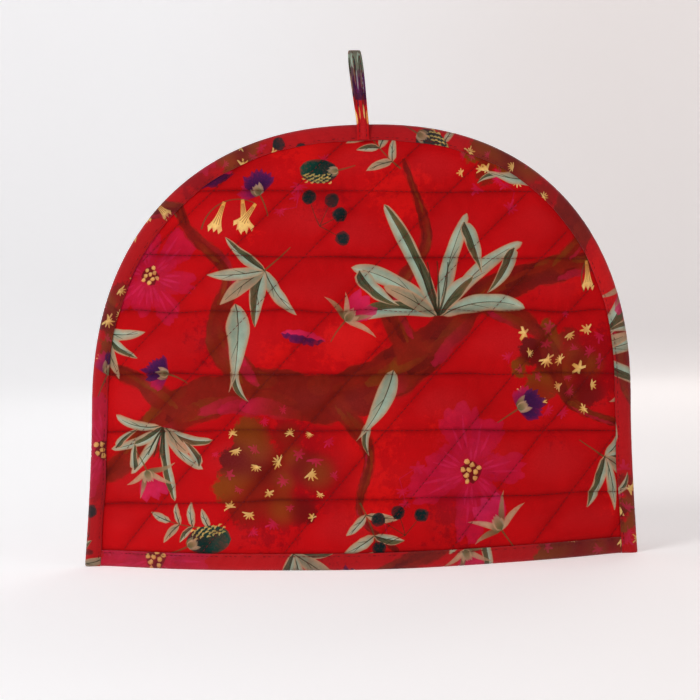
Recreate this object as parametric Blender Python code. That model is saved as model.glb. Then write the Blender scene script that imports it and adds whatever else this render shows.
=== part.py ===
"""A quilted tea cosy that stands on its hem.

Two quilted cotton panels are bound together round their arched edge, each with
its own bound hem, and a hanging loop is sewn over the top of the binding.
Metres, +Z up, the front towards -Y. The origin is on the surface that the hem
stands on, under the middle of the cosy.
"""

import math

import bmesh
import bpy
from mathutils import Vector

# The outline of the bound edge, seen from the front.
WIDTH = 0.342
HEIGHT = 0.268
SPRING_HEIGHT = 0.0925  # the sides round over into the arch from here
SIDE_TAPER = 0.0046  # how much each side draws in from the hem to the spring
ARCH_POWER = 2.3  # 2 is an ellipse, and more is squarer
LEAN = 0.0252  # sideways for each metre up, because one side was cut longer

# How far the panels stand open.
OPENING = 0.054  # each panel from the seam plane, at the middle of the hem
OPENING_POWER = 1.55  # how the opening closes towards the top
SEAM_EASE = 0.003  # how softly a panel leaves the flat bound seam
HEM_WAVE = 0.0012  # unevenness of the standing hem, front and back unlike
HEM_WAVES = {-1: (2.3, 0.6), 1: (3.1, 2.2)}  # half turns to each side, and start

# Cloth thicknesses, and the air between pieces.
GAP = 0.0003
SEAM_THICK = 0.0022  # a quilted panel where it is stitched through
PUFF_OUT = 0.0028
PUFF_IN = 0.0016
BINDING_CLOTH = 0.0010
BINDING_WIDTH = 0.0100
BINDING_ROLL = 0.0006  # how far the middle of the binding puffs up
HEM_CLOTH = 0.0010
HEM_WIDTH = 0.0100
PANEL_EDGE_INSET = 0.0034  # the panels' cut edge, in from the binding's fold

# Quilting: the height of each stitched row at the left, middle and right.
QUILT_ROWS = (
    (0.0385, 0.0417, 0.0381),
    (0.0832, 0.0825, 0.0757),
    (0.1183, 0.1161, 0.1112),
    (0.1569, 0.1541, 0.1497),
    (0.1925, 0.1870, 0.1816),
    (0.2308, 0.2271, 0.2220),
)
ROW_HALF_SPAN = 0.1547  # the left and right heights are this far from the middle
PILLOW_REACH = 0.0180  # from a seam to where the wadding is at its full height
EDGE_REACH = 0.0108  # the same, from the bound edge
DIAGONAL_PITCH = 0.0497  # between slanting lines, measured level
DIAGONAL_START = -0.0028  # where one of them crosses DIAGONAL_LEVEL
DIAGONAL_LEVEL = 0.1150
DIAGONAL_RUN = 0.95  # sideways for each metre up, at that level
DIAGONAL_BEND = 0.60  # how the lines lean over more towards the top
DIAGONAL_DEPTH = 0.62  # a slanting groove, as a share of a level one
DIAGONAL_REACH = 0.0105

# The hanging loop, a flat folded strip from the front of the binding to its back.
LOOP_X = 0.0077
LOOP_WIDTH = 0.0074
LOOP_CLOTH = 0.0016
LOOP_RISE = 0.0440  # of its inner face, above the binding
LOOP_BELLY = 0.0022  # how far each leg bows out
LOOP_SQUARENESS = 2.6  # 2 is an elliptical top, and more is squarer
LOOP_TAIL = 0.0102  # from the top of the binding down to the strip's sewn ends
LOOP_TAIL_KICK = 0.0006  # how far the sewn ends stand off the binding
LOOP_LEAN = -0.093  # sideways for each metre up
LOOP_TWIST = 0.22  # in radians, at its top

# Mesh steps, and shares of them.
COLUMNS = 40
STEPS_PER_BAND = 5
STEPS_IN_CAP = 3
BINDING_STEPS = 60
BINDING_ACROSS = 8
ARCH_SHARE = 0.74  # of the binding's steps, with the rest down its two sides
HEM_STEPS = COLUMNS - 2  # they meet the panel corner to corner
LOOP_STEPS = 34
LEG_SHARE = 0.16  # of the loop's steps, in each sewn end
TURN_STEP = 0.004  # the share of a strip that its direction is measured over
MERGE = 1e-6
SHARP = math.radians(50)

FRONT, BACK = -1, 1
RED_PRINT = (0.50, 0.006, 0.012)
DEEP_RED_PRINT = (0.40, 0.006, 0.016)
VIOLET_PRINT = (0.16, 0.03, 0.07)


def half_width(height, inset=0.0):
    """Half the width at a height, for the outline drawn in by inset."""
    side = WIDTH / 2 - SIDE_TAPER
    if height <= SPRING_HEIGHT:
        return side - inset + SIDE_TAPER * (1 - max(height, 0) / SPRING_HEIGHT) ** 1.5
    rise = (height - SPRING_HEIGHT) / (HEIGHT - SPRING_HEIGHT - inset)
    return (side - inset) * max(0.0, 1 - rise**ARCH_POWER) ** (1 / ARCH_POWER)


def arch_height(x, inset=0.0):
    """The height of the drawn-in arch at x, measured from the leaning middle line."""
    side = WIDTH / 2 - SIDE_TAPER - inset
    across = min(1.0, abs(x) / side)
    rise = (1 - across**ARCH_POWER) ** (1 / ARCH_POWER)
    return SPRING_HEIGHT + (HEIGHT - SPRING_HEIGHT - inset) * rise


def opening(x, height, side):
    """How far a panel's middle layer stands from the seam plane."""
    seam = (GAP + SEAM_THICK) / 2
    top = HEIGHT - BINDING_WIDTH
    if height >= top:
        return seam
    across = (x - LEAN * height) / half_width(height, BINDING_WIDTH)
    if abs(across) >= 1:
        return seam
    closing = 1 - (max(height, 0) / top) ** OPENING_POWER
    raw = OPENING * closing * (1 - across**2)
    eased = raw - SEAM_EASE * (1 - math.exp(-raw / SEAM_EASE))
    turns, start = HEM_WAVES[side]
    wave = HEM_WAVE * math.sin(turns * math.pi * across + start)
    return seam + eased + wave * closing * (1 - across**2)


def on_wall(x, height, offset, side):
    """A point of a panel: offset is level, out from its middle layer."""
    step = 0.0002
    slope = (opening(x + step, height, side) - opening(x - step, height, side)) / (2 * step)
    length = math.hypot(1, slope)
    y = opening(x, height, side) + offset / length
    return Vector((x - slope * offset / length, side * max(y, GAP / 2), height))


def row_height(row, x, side):
    """The height of a stitched row at x, on the curve through its three heights.

    Both panels are cut alike, so the back one's rows run the other way.
    """
    left, middle, right = row
    across = -side * x / ROW_HALF_SPAN
    return middle + across * (right - left) / 2 + across**2 * ((right + left) / 2 - middle)


def pillow(distance, reach):
    """0 on a seam, rising to 1 at reach."""
    return 1 - (1 - min(max(distance / reach, 0.0), 1.0)) ** 2


def edge_distance(x, height):
    """How far a point lies inside the bound edge's inner line."""
    level = abs(x - LEAN * height)
    low, high = 0.0, WIDTH / 2
    for _ in range(20):
        middle = (low + high) / 2
        inside = height < HEIGHT - middle and level < half_width(height, middle)
        low, high = (middle, high) if inside else (low, middle)
    return low - BINDING_WIDTH


def quilting(x, height, side):
    """The wadding's share of its full height: 0 on a seam and 1 between seams."""
    seams = [row_height(row, x, side) for row in QUILT_ROWS] + [HEM_WIDTH]
    rows = pillow(min(abs(height - seam) for seam in seams), PILLOW_REACH)
    if height < HEM_WIDTH:
        return 0.0
    rise = height - DIAGONAL_LEVEL
    slant = DIAGONAL_RUN * rise + DIAGONAL_BEND * rise**2
    level = -side * x - DIAGONAL_START - slant
    nearest = abs((level / DIAGONAL_PITCH + 0.5) % 1 - 0.5) * DIAGONAL_PITCH
    square_on = nearest / math.hypot(1, DIAGONAL_RUN)
    groove = DIAGONAL_DEPTH * (1 - pillow(square_on, DIAGONAL_REACH))
    edge = pillow(edge_distance(x, height), EDGE_REACH)
    return rows * edge * (1 - groove)


def material(name, colour):
    made = bpy.data.materials.new(name)
    made.use_nodes = True
    surface = made.node_tree.nodes["Principled BSDF"]
    surface.inputs["Base Color"].default_value = (*colour, 1)
    surface.inputs["Roughness"].default_value = 0.8
    surface.inputs["Metallic"].default_value = 0.0
    return made


def sewn_piece(name, along, across, place, cloth, collection):
    """A grid with a thickness, whose corners place(u, v, face) puts where they go.

    u and v run from 0 to 1 along and across the cloth, and face is 0 on its
    inner face and 1 on its outer one.
    """
    mesh = bmesh.new()
    bmesh.ops.create_grid(mesh, x_segments=along, y_segments=across, size=0.5)
    bmesh.ops.solidify(mesh, geom=mesh.faces[:], thickness=1.0)
    lowest = min(corner.co.z for corner in mesh.verts)
    for corner in mesh.verts:
        u, v, face = corner.co.x + 0.5, corner.co.y + 0.5, corner.co.z - lowest
        corner.co = place(u, v, round(face))
    bmesh.ops.remove_doubles(mesh, verts=mesh.verts, dist=MERGE)
    bmesh.ops.recalc_face_normals(mesh, faces=mesh.faces)
    data = bpy.data.meshes.new(name)
    mesh.to_mesh(data)
    mesh.free()
    data.materials.append(cloth)
    data.shade_smooth()
    data.set_sharp_from_angle(angle=SHARP)
    piece = bpy.data.objects.new(name, data)
    collection.objects.link(piece)
    return piece


def panel_rows(side):
    """The panel's rows of corners as functions of x, from its cut edge up."""
    foot = HEM_CLOTH + GAP
    lines = [lambda x: foot, lambda x: HEM_WIDTH]
    lines += [lambda x, row=row: row_height(row, x, side) for row in QUILT_ROWS]
    rows = [lines[0]]
    for below, above in zip(lines[1:], lines[2:]):
        for step in range(STEPS_PER_BAND):
            share = step / STEPS_PER_BAND
            rows.append(lambda x, a=below, b=above, s=share: a(x) * (1 - s) + b(x) * s)
    return rows + [lines[-1]]


def panel_point(column, row, rows):
    """Where a column and a row of the panel's grid meet, as x and height.

    The rows follow the stitching. Above the last one they bend up into the
    arch, and the outermost column and row are the part inside the binding.
    """
    outer = column in (0, COLUMNS)
    inset = PANEL_EDGE_INSET if outer else BINDING_WIDTH
    share = (min(max(column, 1), COLUMNS - 1) - 1) / (COLUMNS - 2) * 2 - 1
    line = rows[min(row, len(rows) - 1)]
    x = 0.0
    for _ in range(6):
        height = line(x)
        x = share * half_width(height, inset) + LEAN * height
    cap_step = row - (len(rows) - 1)
    if cap_step <= 0 or outer:
        return x, height
    last = cap_step > STEPS_IN_CAP
    level = x - LEAN * height
    top = arch_height(level, PANEL_EDGE_INSET if last else BINDING_WIDTH)
    rise = 1.0 if last else cap_step / STEPS_IN_CAP
    new_height = height + (top - height) * rise
    return level + LEAN * new_height, new_height


def quilted_panel(name, side, cloth, collection):
    rows = panel_rows(side)
    last_row = len(rows) + STEPS_IN_CAP

    def place(u, v, face):
        x, height = panel_point(round(u * COLUMNS), round(v * last_row), rows)
        relief = quilting(x, height, side)
        outside = SEAM_THICK / 2 + PUFF_OUT * relief
        inside = -SEAM_THICK / 2 - PUFF_IN * relief
        return on_wall(x, height, outside if face else inside, side)

    return sewn_piece(name, COLUMNS, last_row, place, cloth, collection)


def edge_point(u):
    """A point of the bound edge and the way in from it, from the left foot over the arch."""
    side_share = (1 - ARCH_SHARE) / 2

    def point(t):
        if side_share < t < 1 - side_share:
            turn = math.pi * (1 - (t - side_share) / ARCH_SHARE)
            side = math.copysign(abs(math.cos(turn)) ** (2 / ARCH_POWER), math.cos(turn))
            rise = math.sin(turn) ** (2 / ARCH_POWER)
            x = (WIDTH / 2 - SIDE_TAPER) * side
            height = SPRING_HEIGHT + (HEIGHT - SPRING_HEIGHT) * rise
        else:
            height = SPRING_HEIGHT * min(t, 1 - t) / side_share
            x = math.copysign(half_width(height), t - 0.5)
        return Vector((x + LEAN * height, height))

    if u in (0.0, 1.0):
        return point(u), Vector((1 - 2 * u, 0))
    along = point(min(u + TURN_STEP, 1)) - point(max(u - TURN_STEP, 0))
    return point(u), Vector((along.y, -along.x)).normalized()


def binding_section(v, face):
    """The folded strip's section: inset from the edge, and distance from the seam plane."""
    radius = GAP / 2 + SEAM_THICK + GAP
    leg = BINDING_WIDTH - BINDING_CLOTH - radius
    arc = math.pi * radius
    run = v * (2 * leg + arc)
    if leg < run < leg + arc:
        turn = (run - leg) / radius
        reach = radius + face * BINDING_CLOTH
        return BINDING_CLOTH + radius - reach * math.sin(turn), -reach * math.cos(turn)
    from_end = min(run, 2 * leg + arc - run)
    roll = BINDING_ROLL * math.sin(math.pi * from_end / leg)
    away = radius + face * (BINDING_CLOTH + roll)
    return BINDING_WIDTH - from_end, math.copysign(away, v - 0.5)


def edge_binding(name, cloth, collection):
    def place(u, v, face):
        edge, inward = edge_point(u)
        inset, away = binding_section(v, face)
        spot = edge + inward * inset
        return Vector((spot.x, away, spot.y))

    return sewn_piece(name, BINDING_STEPS, BINDING_ACROSS, place, cloth, collection)


def hem_section():
    """The folded strip's inner and outer corners as (offset, height), outer leg to inner leg."""
    near = SEAM_THICK / 2 + GAP
    far = near + HEM_CLOTH
    soft = HEM_CLOTH * 0.7
    outer_leg = [
        ((near, HEM_WIDTH), (far - soft * 0.4, HEM_WIDTH)),
        ((near, HEM_WIDTH * 0.55), (far, HEM_WIDTH * 0.55)),
        ((near, HEM_CLOTH + soft * 0.5), (far, soft)),
        ((near - soft * 0.5, HEM_CLOTH), (far - soft, 0.0)),
    ]
    inner_leg = [((-a, b), (-c, d)) for (a, b), (c, d) in reversed(outer_leg)]
    return outer_leg + inner_leg


def hem_binding(name, side, cloth, collection):
    section = hem_section()

    def place(u, v, face):
        offset, height = section[round(v * (len(section) - 1))][face]
        reach = half_width(height, BINDING_WIDTH + GAP)
        return on_wall((2 * u - 1) * reach + LEAN * height, height, offset, side)

    return sewn_piece(name, HEM_STEPS, len(section) - 1, place, cloth, collection)


def loop_line(u):
    """The strip's inner face from the front end over the top, as (y, height), and its normal."""
    stand = GAP / 2 + SEAM_THICK + 2 * GAP + BINDING_CLOTH + BINDING_ROLL

    def point(t):
        up = min(t, 1 - t)
        if up < LEG_SHARE:
            down = LOOP_TAIL * (1 - up / LEG_SHARE)
            kick = LOOP_TAIL_KICK * (down / LOOP_TAIL) ** 2
            return Vector((math.copysign(stand + kick, t - 0.5), HEIGHT - down))
        turn = math.pi * (t - LEG_SHARE) / (1 - 2 * LEG_SHARE)
        rise = math.sin(turn) ** (2 / LOOP_SQUARENESS)
        side = abs(math.cos(turn)) ** (2 / LOOP_SQUARENESS)
        y = stand * side + LOOP_BELLY * math.sin(math.pi * rise) * side
        return Vector((-math.copysign(y, math.cos(turn)), HEIGHT + LOOP_RISE * rise))

    along = point(min(u + TURN_STEP, 1)) - point(max(u - TURN_STEP, 0))
    return point(u), Vector((-along.y, along.x)).normalized()


def hanging_loop(name, cloth, collection):
    def place(u, v, face):
        spot, outward = loop_line(u)
        spot = spot + outward * face * LOOP_CLOTH
        rise = max(spot.y - HEIGHT, 0.0)
        turn = LOOP_TWIST * min(rise / LOOP_RISE, 1.0) ** 1.5
        across = (v - 0.5) * LOOP_WIDTH
        x = across * math.cos(turn) - spot.x * math.sin(turn)
        y = across * math.sin(turn) + spot.x * math.cos(turn)
        return Vector((LOOP_X + LOOP_LEAN * rise + x, y, spot.y))

    return sewn_piece(name, LOOP_STEPS, 2, place, cloth, collection)


def clear_scene():
    for thing in list(bpy.data.objects):
        bpy.data.objects.remove(thing)


def main():
    clear_scene()
    cosy = bpy.data.collections.new("tea_cosy")
    bpy.context.scene.collection.children.link(cosy)
    quilt = material("printed_quilt", RED_PRINT)
    strip = material("printed_binding", DEEP_RED_PRINT)
    tape = material("printed_loop", VIOLET_PRINT)
    quilted_panel("front_panel", FRONT, quilt, cosy)
    quilted_panel("back_panel", BACK, quilt, cosy)
    hem_binding("front_hem_binding", FRONT, strip, cosy)
    hem_binding("back_hem_binding", BACK, strip, cosy)
    edge_binding("edge_binding", strip, cosy)
    hanging_loop("hanging_loop", tape, cosy)


main()
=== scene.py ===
"""A quilted tea cosy of printed red cotton, standing on its hem.

The cloth of every piece is laid out flat in millimetres, printed there with one
botanical design, and then brought to its sewn place. Places are in metres, +Z
up, with the front towards -Y.
"""

import math
from typing import NamedTuple

import bmesh
import bpy
import numpy as np
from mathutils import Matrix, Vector
from mathutils.geometry import delaunay_2d_cdt
from mathutils.kdtree import KDTree


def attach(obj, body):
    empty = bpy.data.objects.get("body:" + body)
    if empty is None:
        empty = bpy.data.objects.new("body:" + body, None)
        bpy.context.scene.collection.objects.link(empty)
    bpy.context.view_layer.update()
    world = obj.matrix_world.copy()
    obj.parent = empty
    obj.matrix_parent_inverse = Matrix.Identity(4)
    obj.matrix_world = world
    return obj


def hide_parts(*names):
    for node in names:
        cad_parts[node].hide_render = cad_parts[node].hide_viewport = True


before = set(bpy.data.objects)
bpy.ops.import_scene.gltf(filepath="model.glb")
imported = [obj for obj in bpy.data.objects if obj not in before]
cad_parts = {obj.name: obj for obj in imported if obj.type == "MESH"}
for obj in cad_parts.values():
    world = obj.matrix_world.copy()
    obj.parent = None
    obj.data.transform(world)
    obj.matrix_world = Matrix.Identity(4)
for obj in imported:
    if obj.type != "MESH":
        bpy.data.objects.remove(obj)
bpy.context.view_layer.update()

# The solids' own sizes, in metres, in four groups. The outline:
WIDTH = 0.342
HEIGHT = 0.268
SPRING_HEIGHT = 0.0925  # the sides round over into the arch from here
SIDE_TAPER = 0.0046  # how much each side draws in from the hem to the spring
ARCH_POWER = 2.3  # 2 is an ellipse, and more is squarer
ARCH_SHARE = 0.74  # of the bound edge's steps, with the rest down its two sides
LEAN = 0.0252  # sideways for each metre up, because one side was cut longer

# How it stands open.
OPENING = 0.054  # each panel from the seam plane, at the middle of the hem
OPENING_POWER = 1.55  # how the opening closes towards the top
SEAM_EASE = 0.003  # how softly a panel leaves the flat bound seam
HEM_WAVE = 0.0012  # unevenness of the standing hem, front and back unlike
HEM_WAVES = {-1: (2.3, 0.6), 1: (3.1, 2.2)}  # half turns to each side, and start

# Its cloth, binding and quilting.
GAP = 0.0003
SEAM_THICK = 0.0022  # a quilted panel where it is stitched through
PUFF_OUT = 0.0028
PUFF_IN = 0.0016
BINDING_CLOTH = 0.0010
BINDING_WIDTH = 0.0100
BINDING_ROLL = 0.0006  # how far the middle of the binding puffs up
ROLL_SHARE = 0.64  # of the binding's width, over which each of its sides puffs up
HEM_CLOTH = 0.0010
HEM_WIDTH = 0.0100
PANEL_EDGE_INSET = 0.0034  # the panels' cut edge, in from the binding's fold
QUILT_ROWS = (
    # left, middle and right height of each level row
    (0.0385, 0.0417, 0.0381),
    (0.0832, 0.0825, 0.0757),
    (0.1183, 0.1161, 0.1112),
    (0.1569, 0.1541, 0.1497),
    (0.1925, 0.1870, 0.1816),
    (0.2308, 0.2271, 0.2220),
)
ROW_HALF_SPAN = 0.1547  # the left and right heights are this far from the middle
PILLOW_REACH = 0.0180  # from a seam to where the wadding is at its full height
EDGE_REACH = 0.0108  # the same, from the bound edge
DIAGONAL_PITCH = 0.0497  # between slanting lines, measured level
DIAGONAL_START = -0.0028  # where one of them crosses DIAGONAL_LEVEL
DIAGONAL_LEVEL = 0.1150
DIAGONAL_RUN = 0.95  # sideways for each metre up, at that level
DIAGONAL_BEND = 0.60  # how the lines lean over more towards the top
DIAGONAL_DEPTH = 0.62  # a slanting groove, as a share of a level one
DIAGONAL_REACH = 0.0105
DIAGONALS = range(-6, 6)  # the slanting lines that cross the panel, from the left

# The hanging loop.
LOOP_X = 0.0077
LOOP_WIDTH = 0.0074
LOOP_CLOTH = 0.0016
LOOP_RISE = 0.0440  # of its inner face, above the binding
LOOP_BELLY = 0.0022  # how far each leg bows out
LOOP_SQUARENESS = 2.6  # 2 is an elliptical top, and more is squarer
LOOP_TAIL = 0.0102  # from the top of the binding down to the strip's sewn ends
LOOP_TAIL_KICK = 0.0006  # how far the sewn ends stand off the binding
LOOP_LEAN = -0.093  # sideways for each metre up
LOOP_TWIST = 0.22  # in radians, at its top
LEG_SHARE = 0.16  # of the loop's steps, in each sewn end
TWIST_POWER = 1.5  # how its twist gathers towards the top

# What the cloth shows from close by, in metres.
ROW_PULL = 0.0011  # how soon the cloth rises beside a level row
SLANT_PULL = 0.0024  # the same, beside a slanting line
SEAM_SHARE = 0.42  # of the whole rise, taken close to the line
PUFF_UNEVEN = 0.20  # how unlike the puffs are, as a share of their height
PUFF_PITCH = 0.055
PUFF_CREST = 0.75  # the share of a puff's height where its cloth starts to be rubbed
ROW_WANDER = 0.0006  # the machined rows aren't quite smooth
WANDER_PITCH = 0.06
PUCKER = 0.00036  # the height of the small creases that start at a seam
SLANT_PUCKER = 0.6  # those beside a slanting line, as a share of that
PUCKER_PITCH = 0.0110
PUCKER_REACH = 0.0085
PUCKER_START = 0.0012  # how soon a pucker rises beside its seam
PUCKER_DRIFT = 2.2  # in radians, how far their even pitch is upset
DRIFT_PITCH = 0.03
EDGE_ROUND = 0.0008  # how far a strip's turned edge is rounded
STITCH_IN = 0.0016  # from a strip's turned edge in to its stitching
STITCH_DIMPLE = 0.00030  # how deep the stitching draws it in
STITCH_REACH = 0.0008
STITCH_SHADE = 0.6  # how dark the shade painted along that dimple is, beside that of a level row
SHADE_REACH = 0.0005
EDGE_WANDER = 0.00035  # how far the binding's inner edge strays
EDGE_PITCH = 0.045
FACE_SHIFT = 0.3  # how far apart its two sides are read, so that they stray unlike
FOOT_LEVEL = 0.014  # the height under which the binding's ends turn level
DRAG = 0.00018  # slanting drag lines in a strip that is eased round a curve
CREST_WEAR = 0.0026  # how far the rubbing reaches from a folded crest
DRAG_LEAN = np.array([1.0, 0.55])  # their way across the strip
DRAG_PITCH = 0.007
HEM_END_GAP = 0.00006  # between a hem strip's end and the edge binding
STITCH_SIZES = {"Pitch": 0.0030, "Length": 0.0023, "Width": 0.00045, "Rise": 0.00036}
STITCH_LIFT = 0.00008  # of the stitches' middle, above the cloth
STITCH_CLEAR = 0.0008  # between the quilting's last stitch and a strip
HEM_FOLD = 0.0022  # the height where a hem strip starts to turn under
HEM_SQUARENESS = 3.2  # 2 is a round turn, and more is squarer
# Shade painted into the cloth's colour along its seams:
ROW_DARK = 0.0009  # how wide the painted shade of a level row is, to each side
SLANT_DARK = 0.0013
SLANT_SHARE = 0.50  # how dark the painted shade of a slanting line is, beside that of a level row
SOFT_DARK = 0.0042  # the soft painted shade that lies further out beside each seam
SOFT_SHARE = 0.24
SEAM_SHADE_STRENGTH = 0.36
SEAM_UNEVEN = 0.30  # how unlike a seam's painted shade is along it
SEAM_PITCH = 0.05

# Steps on the flat cloth, in millimetres.
PANEL_STEP = 2.0
INNER_STEP = 4.0
STRIP_STEP = 1.5
CREASE_STEP = 2.0
ROW_CREASES = (-1.5, -0.5, 0.0, 0.5, 1.5)
SLANT_CREASES = (-1.1, 0.0, 1.1)
CLEAR_SHARE = 0.42  # of a step, kept free beside a drawn line
HEM_LINE_REACH = 170.0  # to each side of the middle, past the panel's cut edge
FOLD_INSETS = (0.12, 0.36, 0.8)  # of the lines where a strip's cloth turns under
FOLD_ENDS = (0.6, 0.5)  # what those lines leave free at a strip's two ends
GUIDE_STEP = 1.5
GUIDE_ENDS = (3.0, 2.5)  # what a strip's stitching leaves free at its two ends
MERGE_MM = 0.02
MM = 1000.0
RIPPLE_WAVES = 5  # laid over one another for any soft unevenness

FRONT, BACK = -1, 1

# The print's dyes, as they look on the cloth, from 0 to 255.
RED = (184, 7, 13)
PALE_SAGE = (166, 188, 168)
SAGE = (138, 160, 142)
GREY_SAGE = (108, 118, 98)
OLIVE = (78, 74, 40)
DARK_OLIVE = (40, 42, 26)
STRAW = (180, 142, 110)
WOOD = (126, 27, 12)
DARK_WOOD = (88, 14, 11)
OLIVE_BROWN = (122, 60, 14)
ROSE = (208, 40, 92)
MAGENTA = (190, 22, 64)
DEEP_MAGENTA = (172, 12, 44)
DULL_RED = (150, 4, 14)
BRIGHT_RED = (206, 14, 14)
VIOLET = (68, 20, 78)
DARK_VIOLET = (40, 13, 50)
GOLD = (246, 206, 124)
DEEP_GOLD = (222, 158, 72)
INK_GREEN = (8, 34, 34)
POD_GREEN = (14, 66, 52)

# How the design is drawn, in millimetres.
TILE = (380.0, 300.0)  # it repeats after this much
GOLDEN_TURN = 2.4  # in radians, from each grain or blossom of a head to the next
STREAK_COUNT = 4  # of each kind across the loop
LEAF_RIM = 1.0  # how far a leaf's straw rim runs into it
RIM_THINNING = 0.34  # of an ink's cover, lost at its outline
FULL_INK_RIM = 0.15  # how far that thinning reaches into the heaviest inks
STAIN_SPREAD = 1.7  # how far a stain still shows, in its reaches
GROUND_STAINS = 46


# ---------------------------------------------------------------- lines and areas


class Track(NamedTuple):
    """A line measured along its own length, with the way to its left."""

    runs: np.ndarray
    points: np.ndarray
    lefts: np.ndarray

    @property
    def length(self):
        return self.runs[-1]

    def at(self, run):
        """The points and the left ways at these runs."""
        points = [np.interp(run, self.runs, self.points[:, axis]) for axis in (0, 1)]
        lefts = [np.interp(run, self.runs, self.lefts[:, axis]) for axis in (0, 1)]
        return np.column_stack(points), unit(np.column_stack(lefts))


def unit(ways):
    """The same ways, each one long."""
    return ways / np.linalg.norm(ways, axis=1, keepdims=True)


def leftward(points):
    """The way to the left of a line at each of its points."""
    along = np.gradient(points, axis=0)
    return unit(np.column_stack([-along[:, 1], along[:, 0]]))


def track(points, count):
    """An even track of count points through close-set ones."""
    gaps = np.linalg.norm(np.diff(points, axis=0), axis=1)
    runs = np.concatenate([[0], np.cumsum(gaps)])
    even = np.linspace(0, runs[-1], count)
    spots = np.column_stack([np.interp(even, runs, points[:, axis]) for axis in (0, 1)])
    return Track(even, spots, leftward(spots))


def smooth_line(spots, step):
    """A smooth line through given points, with a point about every step."""
    spots = np.array(spots, float)
    ends = np.vstack([2 * spots[0] - spots[1], spots, 2 * spots[-1] - spots[-2]])
    pieces = []
    for before, start, end, after in zip(ends, ends[1:], ends[2:], ends[3:]):
        count = max(2, round(float(np.linalg.norm(end - start)) / step))
        t = np.arange(count)[:, None] / count
        leave, arrive = (end - before) / 2, (after - start) / 2
        pieces.append(
            start * (1 + 2 * t) * (1 - t) ** 2
            + leave * t * (1 - t) ** 2
            + end * t**2 * (3 - 2 * t)
            - arrive * t**2 * (1 - t)
        )
    return np.vstack([*pieces, spots[-1:]])


def inside(points, outline):
    """Which points lie inside a closed outline."""
    x, y = points[:, 0], points[:, 1]
    within = np.zeros(len(points), bool)
    for (x1, y1), (x2, y2) in zip(outline, np.roll(outline, -1, axis=0)):
        if y1 != y2:
            within ^= ((y1 > y) != (y2 > y)) & (x < (x2 - x1) * (y - y1) / (y2 - y1) + x1)
    return within


def ripple(places, pitch, seed):
    """Soft unevenness from about -1 to 1, whose waves are about a pitch long."""
    rng = np.random.default_rng(seed)
    places = places.reshape(len(places), -1)
    total = np.zeros(len(places))
    for _ in range(RIPPLE_WAVES):
        turn = rng.uniform(0, math.tau)
        way = np.array([math.cos(turn), math.sin(turn)])[: places.shape[1]]
        length = pitch * rng.uniform(0.7, 1.5)
        total += np.sin(places @ way * math.tau / length + rng.uniform(0, math.tau))
    return total / math.sqrt(RIPPLE_WAVES)


# ---------------------------------------------------------------- the printed design


class Ink(NamedTuple):
    """One printed shape, in millimetres, whose colour runs from start to end.

    Towards its outline it runs into the rim's colour and thins out. A soft one has
    no drawn edge at all: it is a stain that thins out from start to end.
    """

    outline: np.ndarray
    colour: tuple
    far_colour: tuple
    start: np.ndarray
    end: np.ndarray
    cover: float
    rim: tuple = ()
    rim_reach: float = 0.5
    soft: bool = False


def ink(outline, colour, cover=1.0, far_colour=None, start=None, end=None, rim=(), rim_reach=0.5):
    """A drawn shape, whose colour runs from its first point to the farthest unless told."""
    start = outline[0] if start is None else np.array(start, float)
    if end is None:
        end = outline[np.argmax(np.linalg.norm(outline - start, axis=1))]
    return Ink(outline, colour, far_colour or colour, start, np.array(end, float), cover, rim, rim_reach)


def stain(spot, reach, colour, cover):
    """A round stain of thin dye."""
    spot = np.array(spot, float)
    end = spot + [reach, 0]
    outline = round_outline(STAIN_SPREAD * reach, 8) + spot
    return Ink(outline, colour, colour, spot, end, cover, soft=True)


def moved(inks, x=0.0, y=0.0, turn=0.0):
    """The same shapes, turned anticlockwise by degrees and shifted."""
    c, s = math.cos(math.radians(turn)), math.sin(math.radians(turn))
    matrix, shift = np.array([[c, s], [-s, c]]), np.array([x, y])
    return [
        shape._replace(
            outline=shape.outline @ matrix + shift,
            start=shape.start @ matrix + shift,
            end=shape.end @ matrix + shift,
        )
        for shape in inks
    ]


def brush(line, half_widths):
    """The closed outline of a stroke along a line."""
    across = leftward(line) * np.broadcast_to(half_widths, len(line))[:, None]
    return np.vstack([line + across, (line - across)[::-1]])


def torn(outline, depth, pitch, rng):
    """A closed outline redrawn with the uneven edge of a dry brush."""
    closed = np.vstack([outline, outline[:1]])
    runs = np.concatenate([[0], np.cumsum(np.linalg.norm(np.diff(closed, axis=0), axis=1))])
    count = max(10, round(runs[-1] / pitch))
    even = (np.arange(count) + rng.uniform(-0.3, 0.3, count)) * runs[-1] / count
    spots = np.column_stack([np.interp(even % runs[-1], runs, closed[:, axis]) for axis in (0, 1)])
    along = np.roll(spots, -1, axis=0) - np.roll(spots, 1, axis=0) + 1e-9
    lefts = unit(np.column_stack([-along[:, 1], along[:, 0]]))
    return spots + lefts * (depth * rng.uniform(-1, 1, count))[:, None]


def bent_line(length, bend, count):
    """A line from the origin up, which turns by bend radians over its length."""
    turns = bend * np.linspace(0, 1, count)
    steps = np.column_stack([np.sin(turns), np.cos(turns)]) * length / (count - 1)
    return np.vstack([[0, 0], np.cumsum(steps[1:], axis=0)])


def spoke(turn):
    """The spot one away from the origin, by radians clockwise from straight up."""
    return np.array([math.sin(turn), math.cos(turn)])


def leaf_shape(t, width, foot_power, tip_power):
    """Half the width of a leaf along its length, widest where its two powers meet."""
    widest = foot_power / (foot_power + tip_power)
    full = widest**foot_power * (1 - widest) ** tip_power
    return width / 2 * t**foot_power * (1 - t) ** tip_power / full


def leaf_outline(length, bend, width, powers, count):
    """A leaf's closed outline from the origin up, with its bend in radians."""
    return brush(bent_line(length, bend, count), leaf_shape(np.linspace(0, 1, count), width, *powers))


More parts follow.
